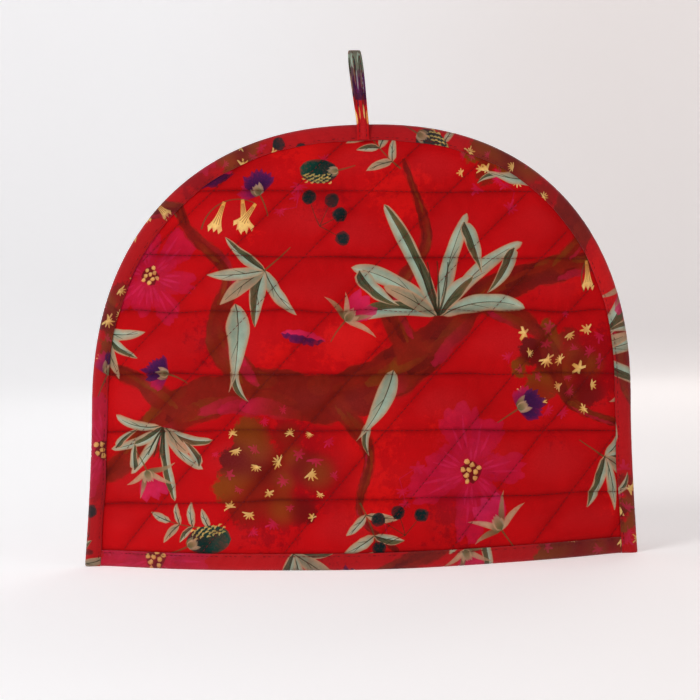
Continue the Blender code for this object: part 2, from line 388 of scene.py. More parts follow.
def leaf(length, width, bend, tone, rng, veins=2, powers=(0.6, 0.9)):
    """A leaf with a slipped straw rim, one shaded side and drawn ribs."""
    count = max(7, round(length / 2.2))
    t = np.linspace(0, 1, count)
    spine = bent_line(length, bend, count)
    half = leaf_shape(t, width, *powers) * (1 + 0.10 * ripple(t, 0.4, rng.integers(1 << 30)))
    left = leftward(spine)
    near, far = {
        "pale": (SAGE, PALE_SAGE), "shaded": (SAGE, PALE_SAGE), "straw": (GREY_SAGE, STRAW),
    }[tone]
    slip = np.array([0.3, -0.25]) * rng.uniform(0.5, 1.5, 2)
    blade = ink(brush(spine, half), near, 1.0, far, rim=STRAW, rim_reach=LEAF_RIM)
    inks = [ink(brush(spine, half + 0.15) + slip, STRAW, 0.9), blade]
    wander = half * (0.92 + 0.1 * ripple(t, 0.3, rng.integers(1 << 30)))
    shaded = np.vstack([spine, (spine - left * wander[:, None])[::-1]])
    if tone == "shaded":
        inks.append(ink(shaded, DARK_OLIVE, 0.94, OLIVE))
        streak = spine - left * (half * 0.5)[:, None]
        inks.append(ink(brush(streak[1:-1], half[1:-1] * 0.16), GREY_SAGE, 0.5, OLIVE))
    else:
        inks.append(ink(shaded, GREY_SAGE, 0.55, near, rim=STRAW, rim_reach=0.9))
    rib = slice(0, max(3, round(count * 0.88)))
    inks.append(ink(brush(spine[rib], np.linspace(0.42, 0.14, len(spine[rib]))), DARK_OLIVE, 0.9))
    for vein in range(veins):
        share = 0.15 + 0.5 * (vein + rng.uniform(0.2, 0.8)) / veins
        foot = round(share * (count - 1))
        ahead = min(count - 1, foot + max(1, round(0.2 * count)))
        side = 1 if vein % 2 else -1
        tip = spine[ahead] + side * left[ahead] * half[ahead] * rng.uniform(0.6, 0.9)
        line = np.linspace(spine[foot], tip, 3)
        inks.append(ink(brush(line, np.array([0.28, 0.22, 0.08])), DARK_OLIVE, 0.75))
    return inks


def stem(line, half_width, colour=OLIVE):
    """A stalk that is half as thick at its end."""
    return ink(brush(line, np.linspace(half_width, half_width * 0.5, len(line))), colour, 0.95)


def fan_leaf(size, rng):
    """Leaflets that hang to one side of a stalk's end."""
    inks = [stem(bent_line(size * 0.5, rng.uniform(-0.5, 0.5), 7) * [1, -1], 0.6)]
    for finger, tone in enumerate(("pale", "shaded", "straw", "pale", "shaded")):
        spread = finger / 2 - 1
        length = size * (1 - 0.22 * abs(spread)) * rng.uniform(0.80, 1.10)
        width = length * rng.uniform(0.20, 0.25)
        shape = leaf(length, width, 0.5 * spread + rng.uniform(-0.25, 0.25), tone, rng)
        inks += moved(shape, turn=-spread * 66 + rng.uniform(-8, 8))
    return inks


def spray(size, rng):
    """A thin bent stem with a few leaves in loose pairs."""
    bend = rng.uniform(0.3, 0.7) * rng.choice([-1, 1])
    line = bent_line(size, bend, 16)
    inks = [stem(line, 0.55)]
    for pair in range(3):
        place = round((0.22 + 0.28 * pair) * 15)
        lean = -math.degrees(bend * place / 15)
        for side in (-1, 1):
            tone = ("pale", "straw", "pale", "shaded")[(2 * pair + (side > 0)) % 4]
            length = size * rng.uniform(0.40, 0.54)
            shape = leaf(length, length * rng.uniform(0.26, 0.34), -side * 0.35, tone, rng)
            inks += moved(shape, *line[place], turn=lean + side * rng.uniform(40, 66))
    tip = leaf(size * 0.46, size * 0.16, 0.2, "pale", rng)
    return inks + moved(tip, *line[-1], turn=-math.degrees(bend))


def drooping_leaf(size, rng):
    """One long leaf with a thin twisted tip."""
    bend = rng.choice([-0.5, 0.5])
    tail = leaf(size * 0.42, size * 0.10, -2 * bend, "shaded", rng, veins=0, powers=(0.4, 1.0))
    spot = bent_line(size, bend, 12)[8]
    tail = moved(tail, *spot, turn=-math.degrees(bend) * 0.7)
    return tail + leaf(size, size * 0.23, bend, "pale", rng, veins=1, powers=(0.6, 1.5))


def blades(size, rng):
    """Long arching strap leaves from one root, some with their tips folded down."""
    inks = []
    for turn, reach, bend, tone, folded in (
        (60, 0.74, -0.9, "shaded", False),
        (-64, 0.80, 0.9, "pale", False),
        (34, 0.98, -0.7, "pale", True),
        (-36, 1.00, 0.6, "pale", True),
        (14, 1.12, -0.2, "shaded", False),
        (-12, 0.96, 0.3, "pale", True),
        (46, 0.56, -0.3, "straw", False),
        (-24, 0.52, 0.7, "shaded", False),
    ):
        length = size * reach * rng.uniform(0.92, 1.08)
        width = size * rng.uniform(0.12, 0.155)
        shape = leaf(length, width, bend, tone, rng, veins=1, powers=(0.55, 0.5))
        if folded:
            end = bent_line(length, bend, 12)[10]
            tip = leaf(size * 0.50, width * 0.95, bend, "shaded", rng, veins=1, powers=(0.35, 1.0))
            shape += moved(tip, *end, turn=-math.degrees(bend) + math.copysign(128, turn))
        inks += moved(shape, x=-turn * 0.04, turn=turn)
    for turn in (-26, -7, 10, 24):
        inks += moved([stem(bent_line(size * 0.5, turn * 0.012, 8), 0.75, DARK_OLIVE)], turn=turn)
    return inks


def petal(length, half_turn, rng):
    """A broad petal from the origin up, with an uneven brushed tip."""
    across = np.linspace(-1, 1, 13)
    reach = length * (1 - 0.26 * across**4 + 0.09 * rng.uniform(-1, 1, len(across)))
    turns = half_turn * across
    crown = np.column_stack([np.sin(turns), np.cos(turns)]) * reach[:, None]
    sides = [
        np.array([[side * math.sin(half_turn * 1.05), math.cos(half_turn)]]) * length * 0.5
        for side in (-1, 1)
    ]
    return np.vstack([[[0, 0]], sides[0], crown, sides[1]])


def peony(size, rng):
    """Loose translucent petals round a gold seed head."""
    inks = [stain((0, 0), size * 0.6, DEEP_MAGENTA, 0.5)]
    for count, reach, half_turn, cover in (
        (7, 1.0, 0.40, 0.62),
        (6, 0.66, 0.42, 0.45),
    ):
        start = rng.uniform(0, 360)
        for number in range(count):
            length = size * reach * rng.uniform(0.74, 1.14)
            shape = torn(petal(length, half_turn * rng.uniform(0.8, 1.15), rng), 0.5, 2.2, rng)
            inks_here = [ink(shape, DEEP_MAGENTA, cover, MAGENTA, (0, 0), (0, length))]
            for streak in (-0.45, 0.15):
                way = spoke(streak * half_turn)
                line = np.linspace(way * length * 0.35, way * length * rng.uniform(0.7, 0.9), 4)
                inks_here.append(ink(brush(line, np.array([0.2, 0.9, 0.7, 0.2])), ROSE, 0.45))
            turn = start + 360 * number / count + rng.uniform(-14, 14)
            inks += moved(inks_here, turn=turn)
    return inks + seed_head(size * 0.19, rng)


def round_outline(radius, count, uneven=0.0, rng=None):
    """A closed round outline whose radius varies by a share of itself."""
    turns = np.arange(count) * math.tau / count
    reach = np.full(count, float(radius))
    if uneven:
        reach *= 1 + uneven * rng.uniform(-1, 1, count)
    return np.column_stack([np.sin(turns), np.cos(turns)]) * reach[:, None]


def seed_head(size, rng):
    """Small gold grains round a dark middle."""
    inks = [ink(round_outline(size * 0.95, 12, 0.15, rng), DARK_WOOD, 0.85)]
    for grain in range(9):
        turn = grain * GOLDEN_TURN
        reach = size * 0.95 * math.sqrt((grain + 0.6) / 9)
        outline = round_outline(size * 0.24, 7, 0.25, rng) + reach * spoke(turn)
        inks.append(ink(outline, GOLD, 1.0, DEEP_GOLD))
    return inks


def blossom(radius, colour, cover, far_colour, rng):
    """A small blossom of blunt uneven petals, open on one side."""
    petals = int(rng.integers(5, 9))
    spread = rng.uniform(1.9, 2.9)
    outline = [(0.0, -0.22 * radius)]
    for number in range(petals):
        middle = spread * ((2 * number + 1) / petals - 1)
        reach = radius * rng.uniform(0.62, 1.12)
        blunt = spread / petals * rng.uniform(0.16, 0.34)
        for turn, share in ((middle - spread / petals, 0.44), (middle - blunt, 1.0), (middle + blunt, 0.9)):
            outline.append(spoke(turn) * reach * share)
    return [ink(np.array(outline), colour, cover, far_colour)]


def blossom_cloud(size, rng):
    """Many small gold blossoms over thin brown patches, with magenta ones round them."""
    inks = []
    for number in range(16):
        reach = size * math.sqrt(number / 16) * 0.95
        spot = reach * spoke(number * GOLDEN_TURN + rng.uniform(-0.4, 0.4))
        colour = (WOOD, OLIVE_BROWN, DARK_WOOD, OLIVE_BROWN)[number % 4]
        inks.append(stain(spot, size * rng.uniform(0.18, 0.32), colour, 0.72))
    for number in range(26):
        reach = size * math.sqrt((number + 0.5) / 26) * 1.2
        if number % 2 or number > 22:
            shape = blossom(rng.uniform(3.0, 5.6), MAGENTA, 0.7, ROSE, rng)
        else:
            shape = [
                tuft._replace(rim_reach=FULL_INK_RIM)
                for tuft in blossom(rng.uniform(2.8, 5.2), GOLD, 1.0, DEEP_GOLD, rng)
            ]
        spot = reach * spoke(number * GOLDEN_TURN) + rng.uniform(-3, 3, 2)
        inks += moved(shape, *spot, rng.uniform(0, 360))
    return inks


def cup(size, rng):
    """Pointed straw and olive scales, as under a thistle, with a stem below."""
    inks = [stem(bent_line(size * 1.5, rng.uniform(-0.5, 0.5), 8) * [1, -1], 0.6)]
    for turn, colour in ((46, OLIVE), (-40, STRAW), (18, STRAW), (-14, GREY_SAGE), (0, OLIVE)):
        length = size * rng.uniform(0.7, 1.0)
        outline = leaf_outline(length, turn * 0.01, size * 0.42, (0.5, 0.9), 6)
        inks += moved([ink(outline, colour, 0.96, STRAW)], turn=turn)
    return inks


def thistle(size, rng):
    """A ragged violet tuft on a straw cup."""
    inks = []
    for number in range(13):
        spread = (number / 12 - 0.5) * 2
        length = size * (1 - 0.22 * abs(spread)) * rng.uniform(0.8, 1.15)
        outline = leaf_outline(length, spread * 0.3, size * 0.24, (0.9, 0.35), 6)
        colours = (DARK_VIOLET, VIOLET) if number > 3 else (VIOLET, MAGENTA)
        inks += moved([ink(outline, colours[0], 0.96, colours[1])], turn=-spread * 58)
    return inks + cup(size * 0.55, rng)


def plume(size, rng):
    """A feathery leaf, violet on one side and magenta on the other."""
    line = bent_line(size, rng.uniform(-0.5, 0.5), 12)
    t = np.linspace(0, 1, 12)
    half = leaf_shape(t, size * 0.27, 0.8, 0.8)
    left = leftward(line)
    low, high = line - left * (half * 0.7)[:, None], line + left * (half * 0.35)[:, None]
    return [
        ink(torn(brush(low, half * 0.5 + 0.2), 0.7, 1.8, rng), MAGENTA, 0.8, ROSE),
        ink(torn(brush(high, half * 0.62 + 0.2), 0.8, 1.7, rng), DARK_VIOLET, 0.96, VIOLET),
    ]


def bells(size, rng):
    """Gold bell flowers that hang from an arching stem."""
    line = bent_line(size * 1.25, 1.9, 16)
    inks = [stem(line, 0.5)]
    for place in (8, 12, 15):
        length = size * rng.uniform(0.38, 0.56)
        t = np.linspace(0, 1, 8)
        half = length * (0.06 + 0.07 * t + 0.15 * t**4)
        spine = bent_line(length, rng.uniform(-0.3, 0.3), 8)
        outline = brush(spine, half)
        lip = np.linspace(outline[7], outline[8], 7)
        lip[1::2, 1] += length * rng.uniform(0.10, 0.24, 3)
        outline = np.vstack([outline[:7], lip, outline[9:]])
        shape = [ink(outline, DEEP_GOLD, 1.0, GOLD, (0, 0), (0, length))]
        for lean in (-0.5, 0.0, 0.5):
            rib = spine + np.column_stack([half * lean, np.zeros(8)])
            shape.append(ink(brush(rib[1:7], 0.2), DARK_WOOD, 0.75))
        inks += moved(shape, *line[place], turn=180 + rng.uniform(-30, 30))
    return inks


def berries(size, rng):
    """Dark round berries close together."""
    inks = []
    for turn in (-50, 0, 44, 96):
        line = bent_line(size * rng.uniform(0.55, 0.9), rng.uniform(-0.3, 0.3), 6)
        outline = round_outline(size * 0.19, 13, 0.08, rng) + line[-1]
        fruit = ink(outline, INK_GREEN, rim_reach=FULL_INK_RIM)
        inks += moved([stem(line, 0.35, DARK_OLIVE), fruit], turn=turn)
    return inks


def seed_pod(size, rng):
    """A plump dark green pod, scaled with gold on one side."""
    line = bent_line(size, 0.5, 16)
    body = leaf_outline(size, 0.5, size * 0.62, (0.5, 0.5), 16)
    inks = [ink(body, INK_GREEN, 1.0, POD_GREEN, rim_reach=FULL_INK_RIM)]
    left = leftward(line)
    for row in range(5):
        for place in range(3, 13, 2):
            lean = 0.22 + 0.16 * row
            spot = line[place + row % 2] + left[place] * size * 0.30 * lean
            curl = bent_line(size * 0.11, 1.8, 5)
            shape = ink(brush(curl, np.array([0.15, 0.5, 0.6, 0.4, 0.1])), GOLD, 0.95, DEEP_GOLD)
            inks += moved([shape], *spot, turn=rng.uniform(40, 90))
    return inks + cup(size * 0.3, rng)


def bud(size, rng):
    """A ragged magenta bud in a straw and olive cup of pointed sepals."""
    inks = []
    for turn in (-24, 20, 0):
        outline = leaf_outline(size * 0.9, 0.0, size * 0.34, (0.8, 0.6), 7)
        inks += moved([ink(torn(outline, 0.5, 1.8, rng), DEEP_MAGENTA, 0.85, ROSE)], turn=turn)
    for turn, colour in ((-58, OLIVE), (50, STRAW), (-30, STRAW), (24, OLIVE)):
        length = size * rng.uniform(0.6, 0.95)
        outline = leaf_outline(length, turn * 0.014, size * 0.15, (0.5, 1.0), 7)
        inks += moved([ink(outline, colour, 0.96, STRAW)], turn=-turn)
    return inks + cup(size * 0.42, rng)


def twig(size, rng):
    """A faint crooked stem with small magenta blossoms."""
    spots = [(0, 0), (0.30, 0.06), (0.34, 0.44), (0.72, 0.52), (0.80, 0.9)]
    line = np.array(spots) * size
    inks = [ink(brush(line, 0.3), MAGENTA, 0.75)]
    for spot in (line[0], line[2], line[4], (line[1] + line[2]) / 2):
        shape = blossom(rng.uniform(4.0, 6.4), MAGENTA, 0.62, ROSE, rng)
        inks += moved(shape, *spot, rng.uniform(0, 360))
    return inks


def bough(spots, widths, rng):
    """A branch in thin brown dye, blotched with olive, dark and magenta strokes."""
    line = smooth_line(spots, 3.5)
    run = np.concatenate([[0], np.cumsum(np.linalg.norm(np.diff(line, axis=0), axis=1))])
    half = np.interp(run, np.linspace(0, run[-1], len(widths)), widths) / 2
    half = half * (1 + 0.13 * ripple(run, 26.0, rng.integers(1 << 30)))
    left = leftward(line)
    inks = [
        ink(torn(brush(line, half + 0.7), 0.7, 2.4, rng), WOOD, 0.45),
        ink(torn(brush(line, half), 0.6, 2.4, rng), WOOD, 0.86, DARK_WOOD),
    ]
    tones = ((OLIVE_BROWN, 0.75), (DARK_WOOD, 0.75), (MAGENTA, 0.7), (WOOD, 0.8), (OLIVE_BROWN, 0.6))
    for number in range(round(run[-1] / 9)):
        colour, cover = tones[number % len(tones)]
        first = int(rng.integers(0, max(1, len(line) - 9)))
        part = slice(first, first + int(rng.integers(6, 15)))
        offset = -rng.uniform(0.4, 0.8) if colour == MAGENTA else rng.uniform(-0.5, 0.75)
        middle = (line + left * (half * offset)[:, None])[part]
        t = np.linspace(0.05, 0.95, len(middle))
        width = half[part] * rng.uniform(0.26, 0.46) * np.sin(math.pi * t) ** 0.6
        if len(middle) > 4:
            inks.append(ink(torn(brush(middle, width), 0.6, 2.0, rng), colour, cover, WOOD))
    return inks


BOUGHS = (
    # the points it passes, and its width at even steps between them
    (((-190, 44), (-146, 62), (-108, 96), (-62, 108), (-14, 102),
      (34, 124), (76, 160), (122, 176), (190, 186)),
     (3, 15, 24, 24, 30, 24, 18, 15, 3)),
    (((-62, 108), (-84, 142), (-76, 178), (-104, 212), (-112, 262)), (20, 12, 9, 5, 3)),
    (((34, 124), (22, 160), (44, 196), (32, 246)), (18, 10, 6, 3)),
    (((76, 160), (112, 136), (128, 96), (164, 80), (190, 84)), (16, 10, 7, 5, 3)),
    (((-108, 96), (-140, 118), (-190, 128)), (14, 8, 5)),
    (((-14, 102), (6, 70), (0, 34), (22, 10)), (14, 7, 4, 3)),
    (((122, 176), (150, 208), (146, 250)), (11, 6, 3)),
)

MOTIFS = (
    # kind, x, y, turn, size
    (twig, -44, 216, 0, 34),
    (twig, 34, 60, 200, 40),
    (twig, 96, 214, 60, 36),
    (twig, -176, 150, 10, 34),
    (peony, -124, 178, 0, 30),
    (peony, 66, 56, 40, 36),
    (peony, 168, 228, 80, 26),
)

LATE_MOTIFS = (
    # these lie over the branches
    (blossom_cloud, -50, 60, 0, 33),
    (blossom_cloud, 122, 118, 0, 27),
    (blossom_cloud, -164, 222, 0, 22),
    (blossom_cloud, 86, 250, 0, 20),
    (blades, 50, 150, 4, 66),
    (blades, -118, 86, 168, 38),
    (fan_leaf, -54, 180, 128, 42),
    (fan_leaf, 150, 60, 236, 40),
    (fan_leaf, -156, 144, 196, 36),
    (spray, -108, 214, 30, 36),
    (spray, 0, 40, -150, 40),
    (spray, -84, 26, 96, 30),
    (spray, 30, 240, 50, 34),
    (drooping_leaf, -72, 160, 190, 54),
    (drooping_leaf, 22, 118, 166, 48),
    (drooping_leaf, 116, 232, 96, 36),
    (thistle, -56, 226, 30, 17),
    (thistle, 96, 92, -60, 18),
    (thistle, -114, 118, 80, 16),
    (thistle, 184, 34, 20, 18),
    (plume, -72, 240, 110, 34),
    (plume, 128, 208, -30, 32),
    (plume, -18, 136, 84, 28),
    (bells, -92, 206, -8, 34),
    (bells, 140, 162, 24, 30),
    (berries, -20, 206, -70, 24),
    (berries, -142, 236, 20, 22),
    (berries, 26, 20, 10, 22),
    (seed_pod, -104, 14, -64, 28),
    (seed_pod, 176, 128, 12, 26),
    (seed_pod, -8, 240, 100, 24),
    (bud, -6, 148, -46, 24),
    (bud, -128, 60, -160, 22),
    (bud, 84, 20, 30, 26),
    (bud, 166, 100, 190, 22),
)


def design():
    """Every printed shape of one repeat, in the order in which they are printed."""
    rng = np.random.default_rng(10)
    inks = []
    for number in range(GROUND_STAINS):
        colour = (DULL_RED, BRIGHT_RED)[number % 2]
        spot = rng.uniform(0, 1, 2) * TILE - np.array([TILE[0] / 2, 0])
        inks.append(stain(spot, rng.uniform(10, 26), colour, rng.uniform(0.25, 0.5)))
    for number, (kind, x, y, turn, size) in enumerate(MOTIFS):
        inks += moved(kind(size, np.random.default_rng([11, number])), x, y, turn)
    for number, (spots, widths) in enumerate(BOUGHS):
        inks += bough(spots, widths, np.random.default_rng([12, number]))
    for number, (kind, x, y, turn, size) in enumerate(LATE_MOTIFS):
        inks += moved(kind(size, np.random.default_rng([13, number])), x, y, turn)
    return inks


STREAKS = (
    # from and to, as shares of the way up the loop, its colours, and their half width
    (0.70, 1.02, (PALE_SAGE, GREY_SAGE), 1.6),
    (0.58, 0.95, (DARK_OLIVE, INK_GREEN), 0.5),
    (0.42, 0.76, (DARK_VIOLET, VIOLET), 1.3),
    (0.46, 0.80, (STRAW, PALE_SAGE), 0.35),
    (0.28, 0.54, (DARK_WOOD, DARK_VIOLET), 0.6),
    (0.14, 0.42, (GOLD, DEEP_GOLD), 0.5),
)


def streaks(length, width):
    """Narrow strokes along the loop, as where it was cut along dark foliage."""
    rng = np.random.default_rng(21)
    inks = []
    low, high = 0.22 * length, 0.78 * length
    base = np.array([(-1, low), (width / 2, low - 3), (width + 1, low), (width + 1, high), (-1, high)])
    middle = (width / 2, length / 2)
    for end in (low, high):
        half = base.copy()
        half[:, 1] = np.clip(base[:, 1], *sorted((end * 0.97, middle[1])))
        inks.append(ink(half, DARK_VIOLET, 0.96, GREY_SAGE, (width / 2, end), middle))
    for first, last, colours, thick in STREAKS:
        for side in (1, -1):
            for number in range(STREAK_COUNT):
                share = rng.uniform(0.45, 0.7) * (last - first)
                start = rng.uniform(first, last - share)
                bend = rng.uniform(-0.10, 0.10)
                wide = 2 * thick * rng.uniform(0.7, 1.3)
                stroke = leaf_outline(share * length / 2, bend, wide, (0.5, 0.6), 8)
                stroke = stroke + [0, start * length / 2]
                if side < 0:
                    stroke = [0, length] - stroke * [-1, 1]
                across = width * (number + rng.uniform(0.2, 0.8)) / STREAK_COUNT
                inks.append(ink(stroke + [across, 0], colours[number % 2], 0.92))
    return inks


def cut_from_print(inks, outline, x, y, turn):
    """The printed shapes that fall on a piece, which is cut at a place and turn of its own."""
    low, high = outline.min(axis=0), outline.max(axis=0)
    c, s = math.cos(math.radians(turn)), math.sin(math.radians(turn))
    corners = np.array([low, high, (low[0], high[1]), (high[0], low[1])])
    spots = corners @ np.array([[c, s], [-s, c]]) + [x, y]
    first = np.floor(spots.min(axis=0) / TILE - 0.5).astype(int)
    last = np.ceil(spots.max(axis=0) / TILE + 0.5).astype(int)
    shown = []
    for column in range(first[0], last[0] + 1):
        for row in range(first[1], last[1] + 1):
            repeat = moved(inks, column * TILE[0] - x, row * TILE[1] - y)
            for shape in moved(repeat, turn=-turn):
                if (shape.outline.max(axis=0) > low).all() and (shape.outline.min(axis=0) < high).all():
                    shown.append(shape)
    return shown


def linear(colours):
    """Colours as they look, from 0 to 255, as amounts of light."""
    share = np.asarray(colours, float) / 255
    return np.where(share <= 0.04045, share / 12.92, ((share + 0.055) / 1.055) ** 2.4)


def outline_distance(spots, outline):
    """How far each spot lies from a closed outline."""
    away = np.full(spots.shape[:-1], np.inf)
    for start, end in zip(outline, np.roll(outline, -1, axis=0)):
        side = end - start
        share = np.clip((spots - start) @ side / max(side @ side, 1e-9), 0, 1)[..., None]
        away = np.minimum(away, np.linalg.norm(spots - start - share * side, axis=-1))
    return away


def laid_over(colours, chosen, tones, cover):
    """One more dye laid over colours and their cover, in the rows that are chosen."""
    under = colours[chosen]
    total = cover + under[..., 3:] * (1 - cover)
    mixed = tones * cover + under[..., :3] * under[..., 3:] * (1 - cover)
    colours[chosen] = np.concatenate([mixed / np.maximum(total, 1e-6), total], axis=-1)


def printed(corners, triangles, inks):
    """The ink at each triangle's corners, with how much of it covers the ground."""
    spots = corners[triangles]
    middles = spots.mean(axis=1)
    colours = np.zeros((len(triangles), 3, 4))
    for shape in inks:
        if shape.soft:
            continue
        low, high = shape.outline.min(axis=0), shape.outline.max(axis=0)
        near = np.nonzero(((middles > low) & (middles < high)).all(axis=1))[0]
        near = near[inside(middles[near], shape.outline)]
        run = shape.end - shape.start
        share = np.clip((spots[near] - shape.start) @ run / (run @ run), 0, 1)[..., None]
        tone = np.array(shape.colour) + (np.array(shape.far_colour) - shape.colour) * share
        used, where = np.unique(triangles[near], return_inverse=True)
        rim = np.exp(-outline_distance(corners[used], shape.outline) / shape.rim_reach)
        rim = rim[where.reshape(-1, 3)][..., None]
        if shape.rim:
            tone = tone + (np.array(shape.rim) - tone) * rim
        laid_over(colours, near, tone, shape.cover * (1 - RIM_THINNING * rim))
    colours[..., :3] = linear(colours[..., :3])
    return colours


def stained(corners, inks):
    """The colour of the stains at each corner, with how strong they are."""
    colours = np.zeros((len(corners), 4))
    for shape in inks:
        if shape.soft:
            reach = np.linalg.norm(shape.end - shape.start)
            away = np.linalg.norm(corners - shape.start, axis=1) / reach
            near = np.nonzero(away < STAIN_SPREAD)[0]
            thinning = (1 - (away[near] / STAIN_SPREAD) ** 2) ** 2
            laid_over(colours, near, np.array(shape.colour, float), shape.cover * thinning[:, None])
    colours[:, :3] = linear(colours[:, :3])
    return colours


# ---------------------------------------------------------------- flat cloth to sewn pieces


def linked(name, data):
    """A new object in the scene, at the origin."""
    made = bpy.data.objects.new(name, data)
    bpy.context.scene.collection.objects.link(made)
    return made


class Cloth(NamedTuple):
    """A cut piece laid flat: corners in millimetres, and triangles that face up."""

    corners: np.ndarray
    triangles: np.ndarray


def laid_flat(outline, creases, loops, step):
    """Triangles whose sides follow the cut edge, the creases and every printed shape."""
    points, sides = [], []
    cuts = [(outline, True)]
    cuts += [(line, False) for line in creases]
    cuts += [(line, True) for line in loops]
    for line, closed in cuts:
        first, count = len(points), len(line)
        points += [(float(x), float(y)) for x, y in line]
        sides += [(first + k, first + k + 1) for k in range(count - 1)]
        if closed:
            sides.append((first + count - 1, first))
    drawn = KDTree(len(points))
    for number, (x, y) in enumerate(points):
        drawn.insert((x, y, 0), number)
    drawn.balance()
    low, high = outline.min(axis=0), outline.max(axis=0)
    rows = np.arange(low[1], high[1], step * math.sqrt(3) / 2)
    across = np.arange(low[0], high[0], step)
    grid = np.array([(x + step / 2 * (k % 2), y) for k, y in enumerate(rows) for x in across])
    grid = grid[inside(grid, outline)]
    points += [(x, y) for x, y in grid if drawn.find((x, y, 0))[2] > step * CLEAR_SHARE]
    found = delaunay_2d_cdt([Vector(p) for p in points], sides, [], 0, MERGE_MM, False)
    corners = np.array([tuple(corner) for corner in found[0]])
    triangles = np.array(found[2])
    triangles = triangles[inside(corners[triangles].mean(axis=1), outline)]
    a, b, c = (corners[triangles[:, k]] for k in range(3))
    area = (b[:, 0] - a[:, 0]) * (c[:, 1] - a[:, 1]) - (b[:, 1] - a[:, 1]) * (c[:, 0] - a[:, 0])
    triangles[area < 0] = triangles[area < 0][:, ::-1]
    used, triangles = np.unique(triangles, return_inverse=True)
    return Cloth(corners[used], triangles.reshape(-1, 3))


def cut_edge(triangles):
    """The corners round the cut edge, in order."""
    sides = triangles[:, [0, 1, 1, 2, 2, 0]].reshape(-1, 2)
    _, index, count = np.unique(np.sort(sides, axis=1), axis=0, return_index=True, return_counts=True)
    following = {int(a): int(b) for a, b in sides[index[count == 1]]}
    start = next(iter(following))
    ordered = [start]
    while following[ordered[-1]] != start:
        ordered.append(following[ordered[-1]])
    if len(ordered) != len(following):
        raise ValueError("the cut edge isn't one loop")
    return np.array(ordered)


def nearest(corners, wanted):
    """The number of the corner nearest to each wanted spot."""
    tree = KDTree(len(corners))
    for number, (x, y) in enumerate(corners):
        tree.insert((x, y, 0), number)
    tree.balance()
    return np.array([tree.find((x, y, 0))[1] for x, y in wanted])


def sewn(name, outline, creases, inks, place, step, materials, painted_shade_beside_seams, worn, inner_creases=None):
    """A closed piece of printed cloth, brought by place(points, face) from flat to its place.

    face is 1 on the outer face and -1 on the inner one, which has its own coarser
    triangles where inner_creases are given.
    """
    outer = laid_flat(outline, creases, [shape.outline for shape in inks if not shape.soft], step)
    rim = cut_edge(outer.triangles)
    colours = printed(outer.corners, outer.triangles, inks)
    if inner_creases is None:
        inner, inner_rim, inner_colours = outer, rim, colours
    else:
        inner = laid_flat(outer.corners[rim], inner_creases, [], INNER_STEP)
        inner_rim = nearest(inner.corners, outer.corners[rim])
        inner_colours = printed(inner.corners, inner.triangles, [])
    shift = len(outer.corners)
    spots = np.vstack([place(outer.corners, 1), place(inner.corners, -1)])
    flat = np.vstack([outer.corners, inner.corners])
    around, next_around = rim, np.roll(rim, -1)
    below, next_below = inner_rim + shift, np.roll(inner_rim, -1) + shift
    wall = np.vstack([
        np.column_stack([around, below, next_around]),
        np.column_stack([next_around, below, next_below]),
    ])
    faces = np.vstack([outer.triangles, inner.triangles[:, ::-1] + shift, wall])
    tones = np.vstack([colours, inner_colours[:, ::-1], np.zeros((len(wall), 3, 4))])
    data = bpy.data.meshes.new(name)
    data.from_pydata(spots.tolist(), [], faces.tolist())
    data.attributes.new("print", "FLOAT_COLOR", "CORNER").data.foreach_set("color", tones.ravel())
    stains = np.vstack([stained(outer.corners, inks), np.zeros((len(inner.corners), 4))])
    data.attributes.new("stain", "FLOAT_COLOR", "POINT").data.foreach_set("color", stains.ravel())
    # The painted shade along seams and stitching, which darkens the colour there.
    depth = np.concatenate([painted_shade_beside_seams(outer.corners), painted_shade_beside_seams(inner.corners)])
    data.attributes.new("painted_seam_shade", "FLOAT", "POINT").data.foreach_set("value", depth)
    rubbed = np.concatenate([worn(outer.corners), worn(inner.corners)])
    data.attributes.new("worn", "FLOAT", "POINT").data.foreach_set("value", rubbed)
    layer = data.uv_layers.new(name="cloth")
    layer.uv.foreach_set("vector", (flat[faces] / MM).ravel())
    for material in materials:
        data.materials.append(material)
    numbers = np.zeros(len(faces), np.int32)
    numbers[len(outer.triangles) :] = len(materials) - 1
    data.polygons.foreach_set("material_index", numbers)
    mesh = bmesh.new()
    mesh.from_mesh(data)
    bmesh.ops.remove_doubles(mesh, verts=mesh.verts, dist=1e-6)
    bmesh.ops.recalc_face_normals(mesh, faces=mesh.faces)
    mesh.to_mesh(data)
    mesh.free()
    data.shade_smooth()
    return linked(name, data)


# ---------------------------------------------------------------- the cosy's shape


def half_width(height, inset=0.0):
    """Half the width at each height, for the outline drawn in by inset."""
    side = WIDTH / 2 - SIDE_TAPER
    foot = side - inset + SIDE_TAPER * np.clip(1 - height / SPRING_HEIGHT, 0, 1) ** 1.5
    rise = np.clip((height - SPRING_HEIGHT) / (HEIGHT - SPRING_HEIGHT - inset), 0, 1)
    arch = (side - inset) * (1 - rise**ARCH_POWER) ** (1 / ARCH_POWER)
    return np.where(height <= SPRING_HEIGHT, foot, arch)


def opening(x, height, side):
    """How far a panel's middle layer stands from the seam plane."""
    seam = (GAP + SEAM_THICK) / 2
    top = HEIGHT - BINDING_WIDTH
    wide = np.maximum(half_width(height, BINDING_WIDTH), 1e-6)
    across = np.clip((x - LEAN * height) / wide, -1, 1)
    closing = 1 - np.clip(height / top, 0, 1) ** OPENING_POWER
    raw = OPENING * closing * (1 - across**2)
    eased = raw - SEAM_EASE * (1 - np.exp(-raw / SEAM_EASE))
    turns, start = HEM_WAVES[side]
    wave = HEM_WAVE * np.sin(turns * math.pi * across + start)
    return seam + eased + wave * closing * (1 - across**2)


